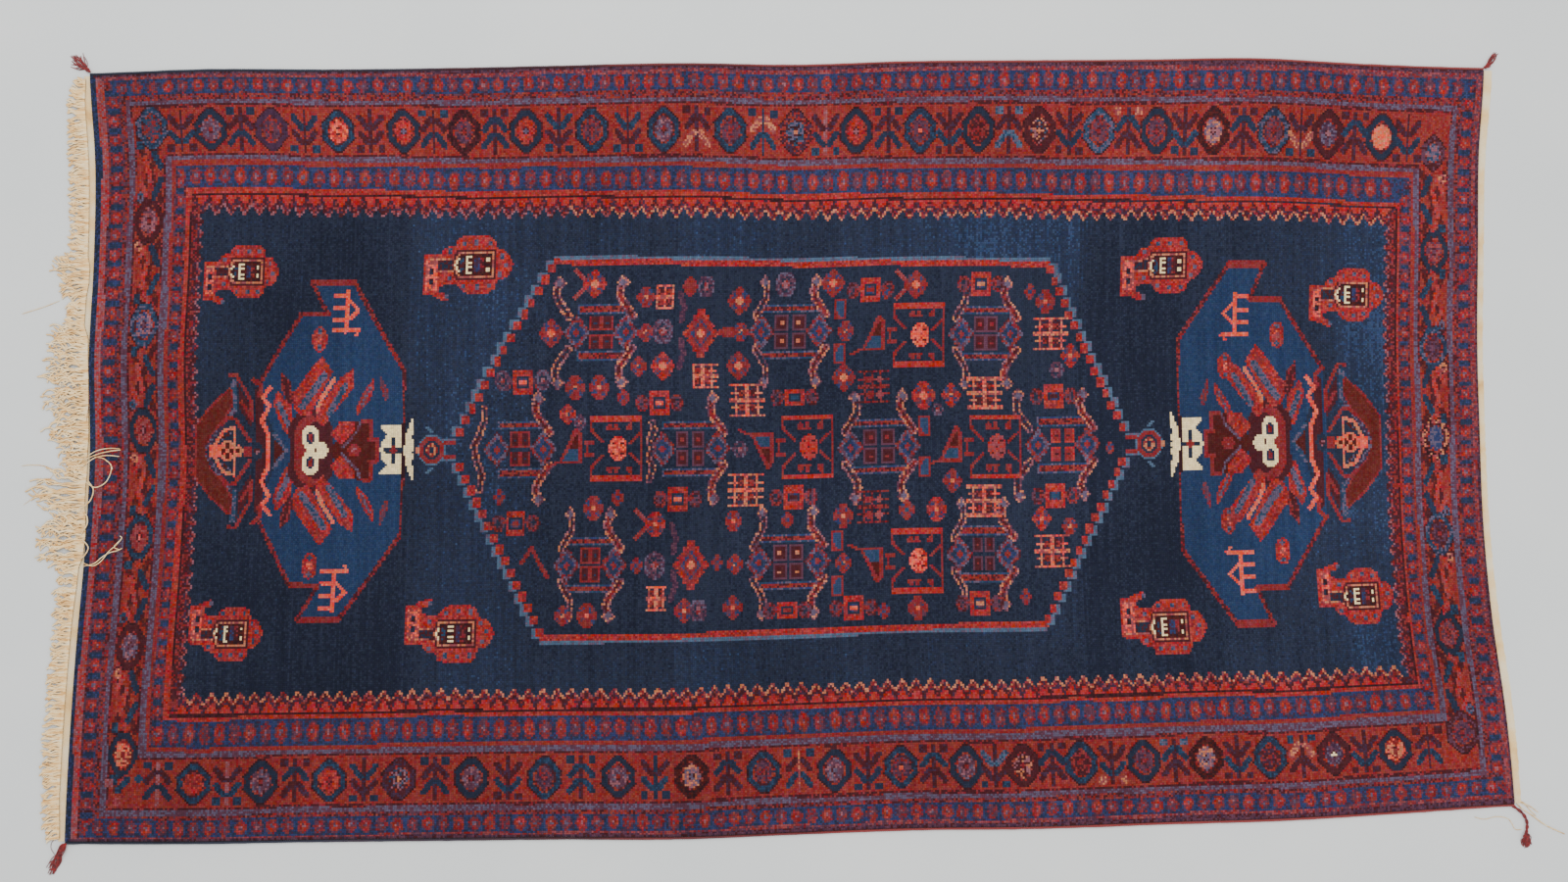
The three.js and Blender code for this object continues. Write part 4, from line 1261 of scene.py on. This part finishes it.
def cloth_slab(along, across, rim):
    """A flat closed cloth one unit wide each way: an even grid, its rim turned down in rings, and a back.
    The rings' depth is kept on the points, from 0 on top to rim at the back."""
    bm = bmesh.new()
    bmesh.ops.create_grid(bm, x_segments=along, y_segments=across, size=0.5)
    depth = bm.verts.layers.float.new("depth")
    edges = [edge for edge in bm.edges if edge.is_boundary]
    for ring in range(1, rim + 1):
        turned = bmesh.ops.extrude_edge_only(bm, edges=edges)["geom"]
        edges = [part for part in turned if isinstance(part, bmesh.types.BMEdge) and part.is_boundary]
        for part in turned:
            if isinstance(part, bmesh.types.BMVert):
                part[depth] = ring
    for face in bmesh.ops.contextual_create(bm, geom=edges)["faces"]:
        face.material_index = BACK_SIDE
    return bm


def read_all(parts, name, size=1, kind=float):
    """One property of all of a mesh's parts, with a row for each part where it has several values."""
    values = np.empty(len(parts) * size, kind)
    parts.foreach_get(name, values)
    return values.reshape(-1, size) if size > 1 else values


def flat_places(mesh):
    """The points of a cloth slab as shares along and across, with their depth, then its corners' points."""
    points = read_all(mesh.vertices, "co", 3) + 0.5
    depth = read_all(mesh.attributes["depth"].data, "value").astype(int)
    return points[:, 0], points[:, 1], depth, read_all(mesh.loops, "vertex_index", kind=int)


def settle(mesh, x, y, z):
    """Moves a mesh's points to their places, in metres."""
    mesh.vertices.foreach_set("co", np.column_stack([x, y, z]).ravel())
    mesh.update()


def add_map(mesh, name, u, v):
    """Gives a mesh a map, from a place for each of its corners."""
    layer = mesh.uv_layers.new(name=name)
    layer.data.foreach_set("uv", np.column_stack([u, v]).ravel())


def inwards(share):
    """Which way is inwards: 1 where a share is 0, -1 where it is 1, and 0 between them."""
    return (share < 1e-6) * 1 - (share > 1 - 1e-6) * 1


# The rings of the pile's rim, from its top to its back: how far each is drawn in and how far it drops from
# the pile's top, as shares of the shoulder. The last ring lies on the floor.
RIM_DRAWN_IN = (0.9, 0.25, 0, 0.1)
RIM_DROP = (0.12, 0.5, 1.3)
# How much the pile's height differs from point to point, in millimetres.
PILE_UNEVEN = 0.12


def knot_pile(rug):
    """The pile cloth: each face of its grid holds two by two knots of the chart."""
    cells_along, cells_across = KNOTS_ALONG // 2, KNOTS_ACROSS // 2
    mesh = mesh_of("rug_pile", cloth_slab(cells_along, cells_across, rim=len(RIM_DROP)))
    materials = [wool_pile_material(rug), rug_back_material(rug)]
    pile = place_piece(new_object("rug_pile", mesh), materials, ["rug_body"])
    u, v, ring, corners = flat_places(mesh)

    centres = read_all(mesh.polygons, "center", 3) + 0.5
    cell_x = np.clip((centres[:, 0] * cells_along).astype(int), 0, cells_along - 1)
    cell_y = np.clip((centres[:, 1] * cells_across).astype(int), 0, cells_across - 1)
    four = weave_chart().reshape(cells_along, 2, cells_across, 2)[cell_x, :, cell_y, :]
    four = np.stack([four[:, 0, 0], four[:, 1, 0], four[:, 0, 1], four[:, 1, 1]], axis=1).astype(float)
    mesh.attributes.new("Yarns", "FLOAT_COLOR", "FACE").data.foreach_set("color", four.ravel())

    # the map stops just short of the last knots' far edges, where the next knot would start
    short = 0.001
    add_map(mesh, "Knots", np.clip(u[corners] * KNOTS_ALONG, short, KNOTS_ALONG - short),
            np.clip(v[corners] * KNOTS_ACROSS, short, KNOTS_ACROSS - short))
    # in the OFBake map the pile takes nearly the whole height, and the back a strip over it
    pile_high, back_low, back_high = 0.95, 0.96, 0.04
    on_back = np.repeat(read_all(mesh.polygons, "material_index", kind=int),
                        read_all(mesh.polygons, "loop_total", kind=int))
    add_map(mesh, "OFBake", u[corners],
            np.where(on_back, back_low + back_high * v[corners], pile_high * v[corners]))

    x, y = plan_point(u, SIDE_INSET + (1 - 2 * SIDE_INSET) * v)
    shoulder = rug.sizes.shoulder
    drawn_in = np.choose(ring, RIM_DRAWN_IN) * shoulder
    x = x + inwards(u) * drawn_in
    y = y + inwards(v) * drawn_in
    top = pile_level(x, y) + np.random.default_rng(3).normal(0, PILE_UNEVEN, len(x)) * MM
    on_rim = (inwards(u) != 0) | (inwards(v) != 0)
    drop = np.choose(ring, (on_rim * RIM_DROP[0], *RIM_DROP[1:], 0)) * shoulder
    settle(mesh, x, y, np.where(ring < len(RIM_DROP), top - drop, 0))
    for polygon in mesh.polygons:
        polygon.use_smooth = polygon.material_index == PILE_SIDE


RINGS_A_TURN = 4
CORD_SIDES = 9
# How high the turns of wool stand, and how much they differ, as shares of the side cord's radius.
CORD_RIDGE = 0.09
CORD_UNEVEN = 0.06


def side_cord(rug, side, material):
    """A warp cord down one long edge with wool wound round it, each turn a small ridge."""
    turns = int(LENGTH * MM / rug.sizes.cord_turn)
    bm = bmesh.new()
    bmesh.ops.create_cone(bm, cap_ends=True, segments=CORD_SIDES, radius1=1, radius2=1, depth=1)
    lengthways = [edge for edge in bm.edges if abs(edge.verts[0].co.z - edge.verts[1].co.z) > 0.5]
    bmesh.ops.subdivide_edges(bm, edges=lengthways, cuts=turns * RINGS_A_TURN - 1)
    mesh = mesh_of("side_cord_" + side, bm)
    place_piece(new_object(mesh.name, mesh), [material], ["selvedge_" + side])
    points = read_all(mesh.vertices, "co", 3)
    u = points[:, 2] + 0.5
    angle = np.arctan2(points[:, 1], points[:, 0])
    seed, v = (5, 1 - SELVEDGE / 2 / WIDTH) if side == "far" else (6, SELVEDGE / 2 / WIDTH)
    x, y = plan_point(u, np.full(len(u), v))
    swell = np.random.default_rng(seed).normal(0, CORD_UNEVEN, 160)
    swell = np.interp(u, np.linspace(0, 1, len(swell)), swell)
    ridge = CORD_RIDGE * np.cos(2 * math.pi * u * turns - angle)
    radius = SELVEDGE / 2 * MM * (0.96 + swell + ridge)
    z = SELVEDGE / 2 * MM + radius * np.sin(angle)
    settle(mesh, x, y + radius * np.cos(angle), np.maximum(z, 0))
    for polygon in mesh.polygons:
        polygon.use_smooth = len(polygon.vertices) == 4


def woven_end(end, widths, material):
    """The plain-woven strip past the pile at one end, its outer edge a little uneven."""
    mesh = mesh_of("woven_end_" + end, cloth_slab(12, KNOTS_ACROSS, rim=2))
    place_piece(new_object(mesh.name, mesh), [material, material], ["fringe_" + end])
    out, v, ring, corners = flat_places(mesh)
    add_map(mesh, "Weave", out[corners], v[corners])
    across = SIDE_INSET + (1 - 2 * SIDE_INSET) * v
    at_end, outwards = (0.0, -1) if end == "left" else (1.0, 1)
    x, y = plan_point(np.full(len(v), at_end), across)
    ragged = np.random.default_rng(9).normal(0, 0.5, 240)
    ragged = np.interp(v, np.linspace(0, 1, len(ragged)), ragged) * out
    reach = GAP + (eased(widths, 1, across) + ragged) * out
    # it is thickest at the pile, and its ribs and slow waves show on top
    thick = 1.9 - 0.4 * out + 0.12 * np.sin(out * 37) + 0.1 * np.sin(y / MM / 9) * out
    rounded = 0.2 * (np.abs(out - 0.5) > 0.499)
    z = np.choose(ring, (thick - rounded, thick * 0.6, 0)) * MM
    settle(mesh, x + outwards * reach * MM, y, z)


# The fringe starts so far in from the sides, as a share of the width.
FRINGE_INSET = 0.008
YARNS_IN_LOCK = 4


def fringe_yarns(rug, material):
    """The warp ends past the left weave, in wavy locks: combed at both sides, tangled about the middle."""
    chance = np.random.default_rng(11)
    yarns = []
    count = rug.sizes.fringe_yarns
    thick = rug.sizes.fringe_yarn / 2

    def place(number):
        return FRINGE_INSET + (1 - 2 * FRINGE_INSET) * number / count

    for number in range(count):
        if number % YARNS_IN_LOCK == 0:
            middle = place(number + YARNS_IN_LOCK / 2)
            turns, phase = chance.uniform(1.0, 1.8), chance.uniform(0, 2 * math.pi)
            reached, thrown = chance.uniform(0.9, 1.05), chance.normal(0, 1)
        v = place(number + chance.uniform(0.2, 0.8))
        reach, swing, tangle = (eased(FRINGE, column, v) for column in (1, 2, 3))
        weave = eased(LEFT_WEAVE, 1, v)
        # a tangled yarn starts on the weave, and ends sooner or later than its neighbours
        start = weave * (1 - 0.9 * tangle) - 1
        tip = start + (reach - start) * reached * chance.uniform(0.94 - 0.35 * tangle, 1.03)
        t = np.linspace(0, 1, int(9 + 13 * tangle))
        swell = (1.5 + 8 * tangle * chance.uniform(0.3, 1.1)) * t
        wave = t * 5 * (turns + 1.5 * tangle) + phase + chance.normal(0, 0.25 + 1.2 * tangle)
        aside = swing * t * t + swell * (np.sin(wave) - math.sin(wave[0]) * (1 - t))
        aside += (thrown * (1 + 4 * tangle) + chance.normal(0, 0.5 + 2 * tangle)) * t
        aside += (middle - v) * WIDTH * 0.6 * t * t
        out = start + (tip - start) * t - swell * tangle * np.cos(wave) * t
        # it lies on the weave, then on the floor, where it may rise over its neighbours
        rise = chance.uniform(0, 2 + 3 * tangle)
        over_weave = 2.2 * np.clip((weave + 2 - out) / 3, 0, 1)
        lift = thick / MM + 0.1 + np.maximum(over_weave, rise * np.sin(np.clip(t * 1.15, 0, 1) * math.pi))
        x, y = plan_point(0, v)
        points = np.column_stack([x - out * MM, y + aside * MM, lift * MM])
        radii = thick * chance.uniform(0.85, 1.15) * (1 - 0.3 * t**3)
        yarns.append((points, radii))
    yarn_piece("fringe_yarns_left", yarns, material)


# Yarns that have come loose and lie over the pile or beside the corners: their thickness and their
# routes in millimetres, with how high each stands.
LOOSE_COTTON = (
    (1.9, ((-1232, -27, 3), (-1217, -17, 9.6), (-1192, -6, 10.4), (-1171, -1, 10), (-1153, 1, 9.8))),
    (1.9, ((-1231, -31, 3), (-1214, -24, 10), (-1196, -12, 11), (-1176, -8, 10), (-1155, -10, 9.7))),
    (1.7, ((-1230, -24, 3), (-1213, -12, 9.6), (-1193, 0, 10), (-1172, 4, 9.8), (-1154, 3, 9.6))),
    (1.9, ((-1212, -52, 9), (-1195, -62, 9.6), (-1176, -52, 9.8), (-1168, -28, 9.8), (-1180, -14, 9.8),
           (-1196, -10, 10.4))),
    (1.5, ((-1178, -16, 9.8), (-1170, -22, 9.8), (-1166, -32, 9.7))),
    (1.9, ((-1214, -190, 9), (-1198, -195, 9.8), (-1184, -187, 9.8), (-1171, -171, 11), (-1160, -161, 9.8),
           (-1150, -149, 9.6), (-1153, -145, 9.6))),
    (1.9, ((-1213, -195, 9), (-1196, -191, 9.8), (-1182, -180, 10), (-1170, -173, 9.6), (-1158, -170, 9.8),
           (-1149, -166, 9.6))),
    (1.6, ((-1150, -150, 9.6), (-1162, -163, 11), (-1154, -168, 9.6))),
    (2.2, ((-1206, -52, 9.4), (-1198, -66, 9.8), (-1203, -84, 9.6), (-1216, -95, 9.2), (-1228, -97, 4))),
    (2.2, ((-1220, -99, 6), (-1209, -110, 9.4), (-1208, -124, 9.4), (-1217, -138, 7), (-1222, -148, 4))),
    (2.2, ((-1216, -150, 8), (-1206, -163, 9.6), (-1211, -176, 9.4), (-1222, -184, 5))),
    (1.3, ((-1261, 259, 1), (-1286, 249, 1), (-1324, 237, 0.8))),
    (1.3, ((-1262, -34, 1.4), (-1284, -24, 1), (-1305, -22, 0.8), (-1322, -23, 0.8))),
    (0.8, ((-1268, -38, 1.2), (-1276, -47, 1), (-1292, -56, 0.8))),
    (0.7, ((-1290, -64, 0.8), (-1300, -76, 0.7), (-1318, -90, 0.7))),
    (2.2, ((1231, -641, 2), (1240, -651, 1), (1256, -662, 0.9), (1280, -680, 0.9), (1313, -696, 0.8))),
    (1.6, ((1228, -636, 2), (1246, -645, 1), (1255, -655, 0.8), (1264, -664, 0.8))),
    (1.6, ((1229, -633, 2), (1243, -641, 1), (1258, -650, 0.8), (1268, -658, 0.8))),
    (1.4, ((1157, -664, 0.8), (1174, -668, 0.6), (1194, -664, 0.6), (1213, -667, 0.6), (1221, -675, 0.6),
           (1227, -686, 0.6), (1238, -687, 0.6))),
)
LOOSE_WOOL = (
    (0.9, ((-1253, -648, 2), (-1264, -656, 1), (-1266, -667, 0.8), (-1259, -679, 0.8))),
    (0.8, ((-1211, 50, 8.6), (-1209, 66, 8.6), (-1206, 92, 8.6), (-1204, 108, 8.6))),
)


def loose_yarns(name, routes, material):
    """Loose yarns along their routes, a little thinner at both ends."""
    yarns = []
    for thick, route in routes:
        points = smooth_route(route, 6 * len(route)) * MM
        radii = np.full(len(points), thick / 2 * MM) * (1 - 0.25 * np.linspace(-1, 1, len(points))**4)
        yarns.append((points, radii))
    yarn_piece(name, yarns, material)


# The corner tails: where each leaves the rug and is tied, how thick its head is, and where its ends lie.
TAILS = {
    "tail_far_left": dict(root=(-1211, 655), head=(-1217, 661), radius=3.4, strands=26,
                          tips=((-1222, 690), (-1236, 693), (-1248, 690), (-1246, 676), (-1247, 663))),
    "tail_near_left": dict(root=(-1240, -659), head=(-1247, -668), radius=5.6, strands=48,
                           tips=((-1276, -698), (-1272, -712), (-1262, -713), (-1255, -702))),
    "tail_near_right": dict(root=(1245, -694), head=(1244, -697), radius=5.8, strands=60,
                            tips=((1235, -713), (1242, -719), (1249, -718), (1256, -712))),
    "tail_far_right": dict(root=(1225, 647), head=(1232.5, 650.5), radius=3.4, strands=20,
                           tips=((1256, 674), (1245, 677))),
}
# The near right tail hangs on a cord of two plies, twisted round each other.
NEAR_RIGHT_CORD = ((1224, -646), (1240, -659), (1247, -674), (1246, -688), (1244, -698))
CORD_POINTS = 60
PLY = 1.35
PLY_TURNS = 3.2
CORD_HEIGHT = 3


def plies(route):
    """The two plies of a cord, as yarns."""
    centre = smooth_route(route, CORD_POINTS)
    along = np.gradient(centre, axis=0)
    aside = np.column_stack([-along[:, 1], along[:, 0]]) / np.linalg.norm(along, axis=1)[:, None]
    for start in (0, math.pi):
        twist = np.linspace(0, 2 * math.pi * PLY_TURNS, CORD_POINTS) + start
        flat = centre + aside * PLY * np.cos(twist)[:, None]
        points = np.column_stack([flat, CORD_HEIGHT + PLY * np.sin(twist)]) * MM
        yield points, np.full(CORD_POINTS, 1.5 * MM)


def corner_tail(name, material):
    """A tied bunch of the side cord's wool: a bound head and ends that fan from it over the floor."""
    row = TAILS[name]
    chance = np.random.default_rng(len(name))
    radius = row["radius"]
    head = np.array(row["head"], float)
    tips = np.array(row["tips"], float)
    yarns = []
    for strand in range(row["strands"]):
        share = chance.uniform(0, len(tips) - 1)
        low = int(share)
        tip = tips[low] + (tips[min(low + 1, len(tips) - 1)] - tips[low]) * (share - low)
        tip = head + (tip - head) * chance.uniform(0.7, 1.0)
        around = chance.normal(0, radius * 0.4, 2)
        belly = (head + tip) / 2 + chance.normal(0, 2.6, 2)
        heights = (radius * chance.uniform(0.5, 1.5), chance.uniform(1, 3.5), chance.uniform(0.5, 1.2))
        route = [(*row["root"], 4), (*(head + around), heights[0]), (*belly, heights[1]), (*tip, heights[2])]
        points = smooth_route(route, 10) * MM
        yarns.append((points, 0.8 * MM * np.linspace(1.2, 0.6, len(points))))
    # four turns of yarn bind the head
    aim = tips.mean(axis=0) - head
    aim /= np.linalg.norm(aim)
    angles = np.linspace(0, 2 * math.pi, 15)
    wide = radius * 0.75
    for turn in range(4):
        ring = head + aim * (turn * 1.1 - 0.5)
        points = np.column_stack([ring[0] - aim[1] * wide * np.cos(angles),
                                  ring[1] + aim[0] * wide * np.cos(angles),
                                  radius * 0.8 + wide * np.sin(angles)]) * MM
        yarns.append((points, np.full(len(points), 0.7 * MM)))
    if name == "tail_near_right":
        yarns.extend(plies(NEAR_RIGHT_CORD))
    yarn_piece(name + "_wool", yarns, material, [name])


FLOOR_REACH = 6
# The softboxes: name, place, width and strength as a share of the key light. Both look at the rug's middle.
SOFTBOXES = (
    ("overhead softbox", (-0.6, 1.6, 3.4), 2.6, 1),
    ("side softbox", (2.4, -1.6, 3.0), 2.2, 0.35),
)
CAMERA_PLACE = (-0.1335, -0.2095, 3.205)
CAMERA_TURN = (3.8, -1.9, -0.9)
CAMERA_LENS = 42.75
CAMERA_SENSOR = 36


def build_stage(rug):
    """A plain pale floor, soft light from above and a camera over the rug."""
    bm = bmesh.new()
    bmesh.ops.create_grid(bm, x_segments=1, y_segments=1, size=FLOOR_REACH)
    floor = new_object("floor", mesh_of("floor", bm))
    material, tree = new_material("pale painted floor")
    here = node(tree, "TexCoord").outputs["Object"]
    mottle = node(tree, "TexNoise", Vector=here, Scale=3, Detail=4).outputs["Fac"]
    paint = node(tree, "ValToRGB", Fac=mottle, stops=((0.3, rug.stage.floor), (0.7, rug.stage.floor_light)))
    shader = tree.nodes["Principled BSDF"]
    tree.links.new(paint.outputs["Color"], shader.inputs["Base Color"])
    shader.inputs["Roughness"].default_value = 0.7
    floor.data.materials.append(material)

    world = bpy.data.worlds.new("studio")
    bpy.context.scene.world = world
    world.use_nodes = True
    fill = world.node_tree.nodes["Background"]
    fill.inputs["Color"].default_value = (1, 1, 1, 1)
    fill.inputs["Strength"].default_value = rug.stage.fill_light
    for name, place, width, strength in SOFTBOXES:
        light = bpy.data.lights.new(name, "AREA")
        light.size = width
        light.energy = rug.stage.key_light * strength
        lamp = new_object(name, light)
        lamp.location = place
        lamp.rotation_euler = (-Vector(place)).to_track_quat("-Z", "Y").to_euler()

    camera = new_object("camera", bpy.data.cameras.new("camera"))
    camera.data.sensor_width = CAMERA_SENSOR
    camera.data.lens = CAMERA_LENS
    camera.location = CAMERA_PLACE
    camera.rotation_euler = [math.radians(angle) for angle in CAMERA_TURN]
    bpy.context.scene.camera = camera


# ---- Settings, operators and panel ----


class RugSizes(bpy.types.PropertyGroup):
    """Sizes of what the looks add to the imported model."""

    shoulder: FloatProperty(name="Shoulder", description="How far the pile's rim rounds in", unit="LENGTH",
                            default=2.2 * MM)
    cord_turn: FloatProperty(name="Cord Turn", description="Pitch of the wool wound on the side cords",
                             unit="LENGTH", default=3.2 * MM)
    fringe_yarn: FloatProperty(name="Fringe Yarn", description="Thickness of a fringe yarn", unit="LENGTH",
                               default=3.3 * MM)
    fringe_yarns: IntProperty(name="Fringe Yarns", description="How many yarns the fringe has",
                              default=720, min=1)


class RugFinish(bpy.types.PropertyGroup):
    """How the wool looks."""

    knot_variation: FloatProperty(name="Knot Variation", description="How much knots differ in brightness",
                                  subtype="FACTOR", default=0.16, min=0, max=1)
    fibre_grain: FloatProperty(name="Fibre Grain", description="Size of the glints in the pile",
                               unit="LENGTH", default=1.6 * MM)
    sheen: FloatProperty(name="Sheen", description="How much light the wool's fibres catch",
                         subtype="FACTOR", default=0.05, min=0, max=1)


class RugStage(bpy.types.PropertyGroup):
    """Floor and light."""

    floor: dye("Floor", "#d5d9d9", "Pale painted floor")
    floor_light: dye("Light Floor", "#dddfde", "The floor where it is lightest")
    key_light: FloatProperty(name="Key Light", description="Strength of the overhead softbox",
                             default=92, min=0)
    fill_light: FloatProperty(name="Fill Light", description="Strength of the light all round",
                              default=1.08, min=0)


class RugYarns(bpy.types.PropertyGroup):
    """The dyes of the wool and the undyed cotton."""

    night: dye("Night", "#1a1e2e", "Darkest navy of the field")
    navy: dye("Navy", "#212637", "Navy of the field")
    indigo: dye("Indigo", "#222a40", "Lighter navy of the field and outlines")
    blue: dye("Blue", "#283755", "Brightest streaks of the field")
    pendant: dye("Pendant", "#1f2f4d", "Ground of the end ornaments")
    guard: dye("Guard", "#283055", "Ground of the guard borders")
    sky: dye("Sky", "#41556c", "Light blue outline of the medallion")
    slate: dye("Slate", "#53475c", "Greyed blue of the border lines")
    teal: dye("Teal", "#21374f", "Greenish blue of leaves and outlines")
    red: dye("Red", "#741d21", "Madder red of petals and outlines")
    scarlet: dye("Scarlet", "#951b18", "Brightest red of the teeth and bars")
    coral: dye("Coral", "#7e363a", "Faded red of the border lines")
    brick: dye("Brick", "#7c241d", "Ground of the main border")
    peach: dye("Peach", "#ae6344", "Light orange of small outlines")
    orange: dye("Orange", "#ce442f", "Bright orange of flower hearts")
    cream: dye("Cream", "#e7ce98", "Undyed wool of rings and bows")
    maroon: dye("Maroon", "#41181e", "Dark red of stems and shadows")
    brown: dye("Brown", "#451513", "Dark brown of the panels")
    mauve: dye("Mauve", "#512e3e", "Faded purple of dull flowers")
    rose: dye("Rose", "#7d4a53", "Faded pink of specks")
    soot: dye("Soot", "#2e151a", "Near black line round the field")
    plum: dye("Plum", "#3b2337", "Purple shadow in dull flowers")
    ember: dye("Ember", "#561b16", "Brown red of the wing bands")
    cord: dye("Cord", "#82302f", "Wool wound on the side cords")
    cotton: dye("Cotton", "#ffd694", "Undyed cotton of the ends")
    soiled: dye("Soiled", "#dda55c", "Cotton where it is soiled")
    bleached: dye("Bleached", "#ffecc4", "Cotton where it is clean")


class RugSettings(bpy.types.PropertyGroup):
    """All that the rug's operators read."""

    sizes: PointerProperty(type=RugSizes)
    finish: PointerProperty(type=RugFinish)
    stage: PointerProperty(type=RugStage)
    yarns: PointerProperty(type=RugYarns)


class RUG_OT_pile(bpy.types.Operator):
    """Knot the pile cloth from the chart"""

    bl_idname = "rug.pile"
    bl_label = "Knot Pile"

    def execute(self, context):
        knot_pile(context.scene.rug)
        return {"FINISHED"}


class RUG_OT_side_cords(bpy.types.Operator):
    """Wind the two side cords"""

    bl_idname = "rug.side_cords"
    bl_label = "Wind Side Cords"

    def execute(self, context):
        rug = context.scene.rug
        wool = wrapped_wool_material(rug)
        for side in ("far", "near"):
            side_cord(rug, side, wool)
        return {"FINISHED"}


class RUG_OT_woven_ends(bpy.types.Operator):
    """Weave the plain strips at both ends"""

    bl_idname = "rug.woven_ends"
    bl_label = "Weave Ends"

    def execute(self, context):
        cotton = cotton_weave_material(context.scene.rug)
        woven_end("left", LEFT_WEAVE, cotton)
        woven_end("right", RIGHT_WEAVE, cotton)
        return {"FINISHED"}


class RUG_OT_fringe(bpy.types.Operator):
    """Lay the fringe and the loose yarns"""

    bl_idname = "rug.fringe"
    bl_label = "Lay Fringe"

    def execute(self, context):
        rug = context.scene.rug
        cotton = cotton_yarn_material(rug)
        fringe_yarns(rug, cotton)
        loose_yarns("loose_cotton", LOOSE_COTTON, cotton)
        wool = dyed_yarn_material("loose red wool", rug.yarns.maroon, rug.yarns.red)
        loose_yarns("loose_wool", LOOSE_WOOL, wool)
        return {"FINISHED"}


class RUG_OT_tails(bpy.types.Operator):
    """Tie the corner tails"""

    bl_idname = "rug.tails"
    bl_label = "Tie Tails"

    def execute(self, context):
        rug = context.scene.rug
        wool = dyed_yarn_material("red tail wool", rug.yarns.maroon, rug.yarns.scarlet)
        for name in TAILS:
            corner_tail(name, wool)
        return {"FINISHED"}


class RUG_OT_stage(bpy.types.Operator):
    """Set the floor, lights and camera"""

    bl_idname = "rug.stage"
    bl_label = "Set Stage"

    def execute(self, context):
        build_stage(context.scene.rug)
        return {"FINISHED"}


OPERATORS = (RUG_OT_pile, RUG_OT_side_cords, RUG_OT_woven_ends, RUG_OT_fringe, RUG_OT_tails, RUG_OT_stage)


class RUG_PT_panel(bpy.types.Panel):
    """Lists the rug's steps in the sidebar"""

    bl_label = "Village Rug"
    bl_idname = "RUG_PT_panel"
    bl_space_type = "VIEW_3D"
    bl_region_type = "UI"
    bl_category = "Rug"

    def draw(self, context):
        rug = context.scene.rug
        for group in (rug.sizes, rug.finish, rug.stage):
            for name in group.__annotations__:
                self.layout.prop(group, name)
        for operator in OPERATORS:
            self.layout.operator(operator.bl_idname)


CLASSES = (RugSizes, RugFinish, RugStage, RugYarns, RugSettings, *OPERATORS, RUG_PT_panel)


def register():
    for each in CLASSES:
        bpy.utils.register_class(each)
    bpy.types.Scene.rug = PointerProperty(type=RugSettings)


def unregister():
    del bpy.types.Scene.rug
    for each in reversed(CLASSES):
        bpy.utils.unregister_class(each)


def main():
    register()
    bpy.ops.rug.stage()
    bpy.ops.rug.pile()
    bpy.ops.rug.side_cords()
    bpy.ops.rug.woven_ends()
    bpy.ops.rug.fringe()
    bpy.ops.rug.tails()


if __name__ == "__main__":
    main()
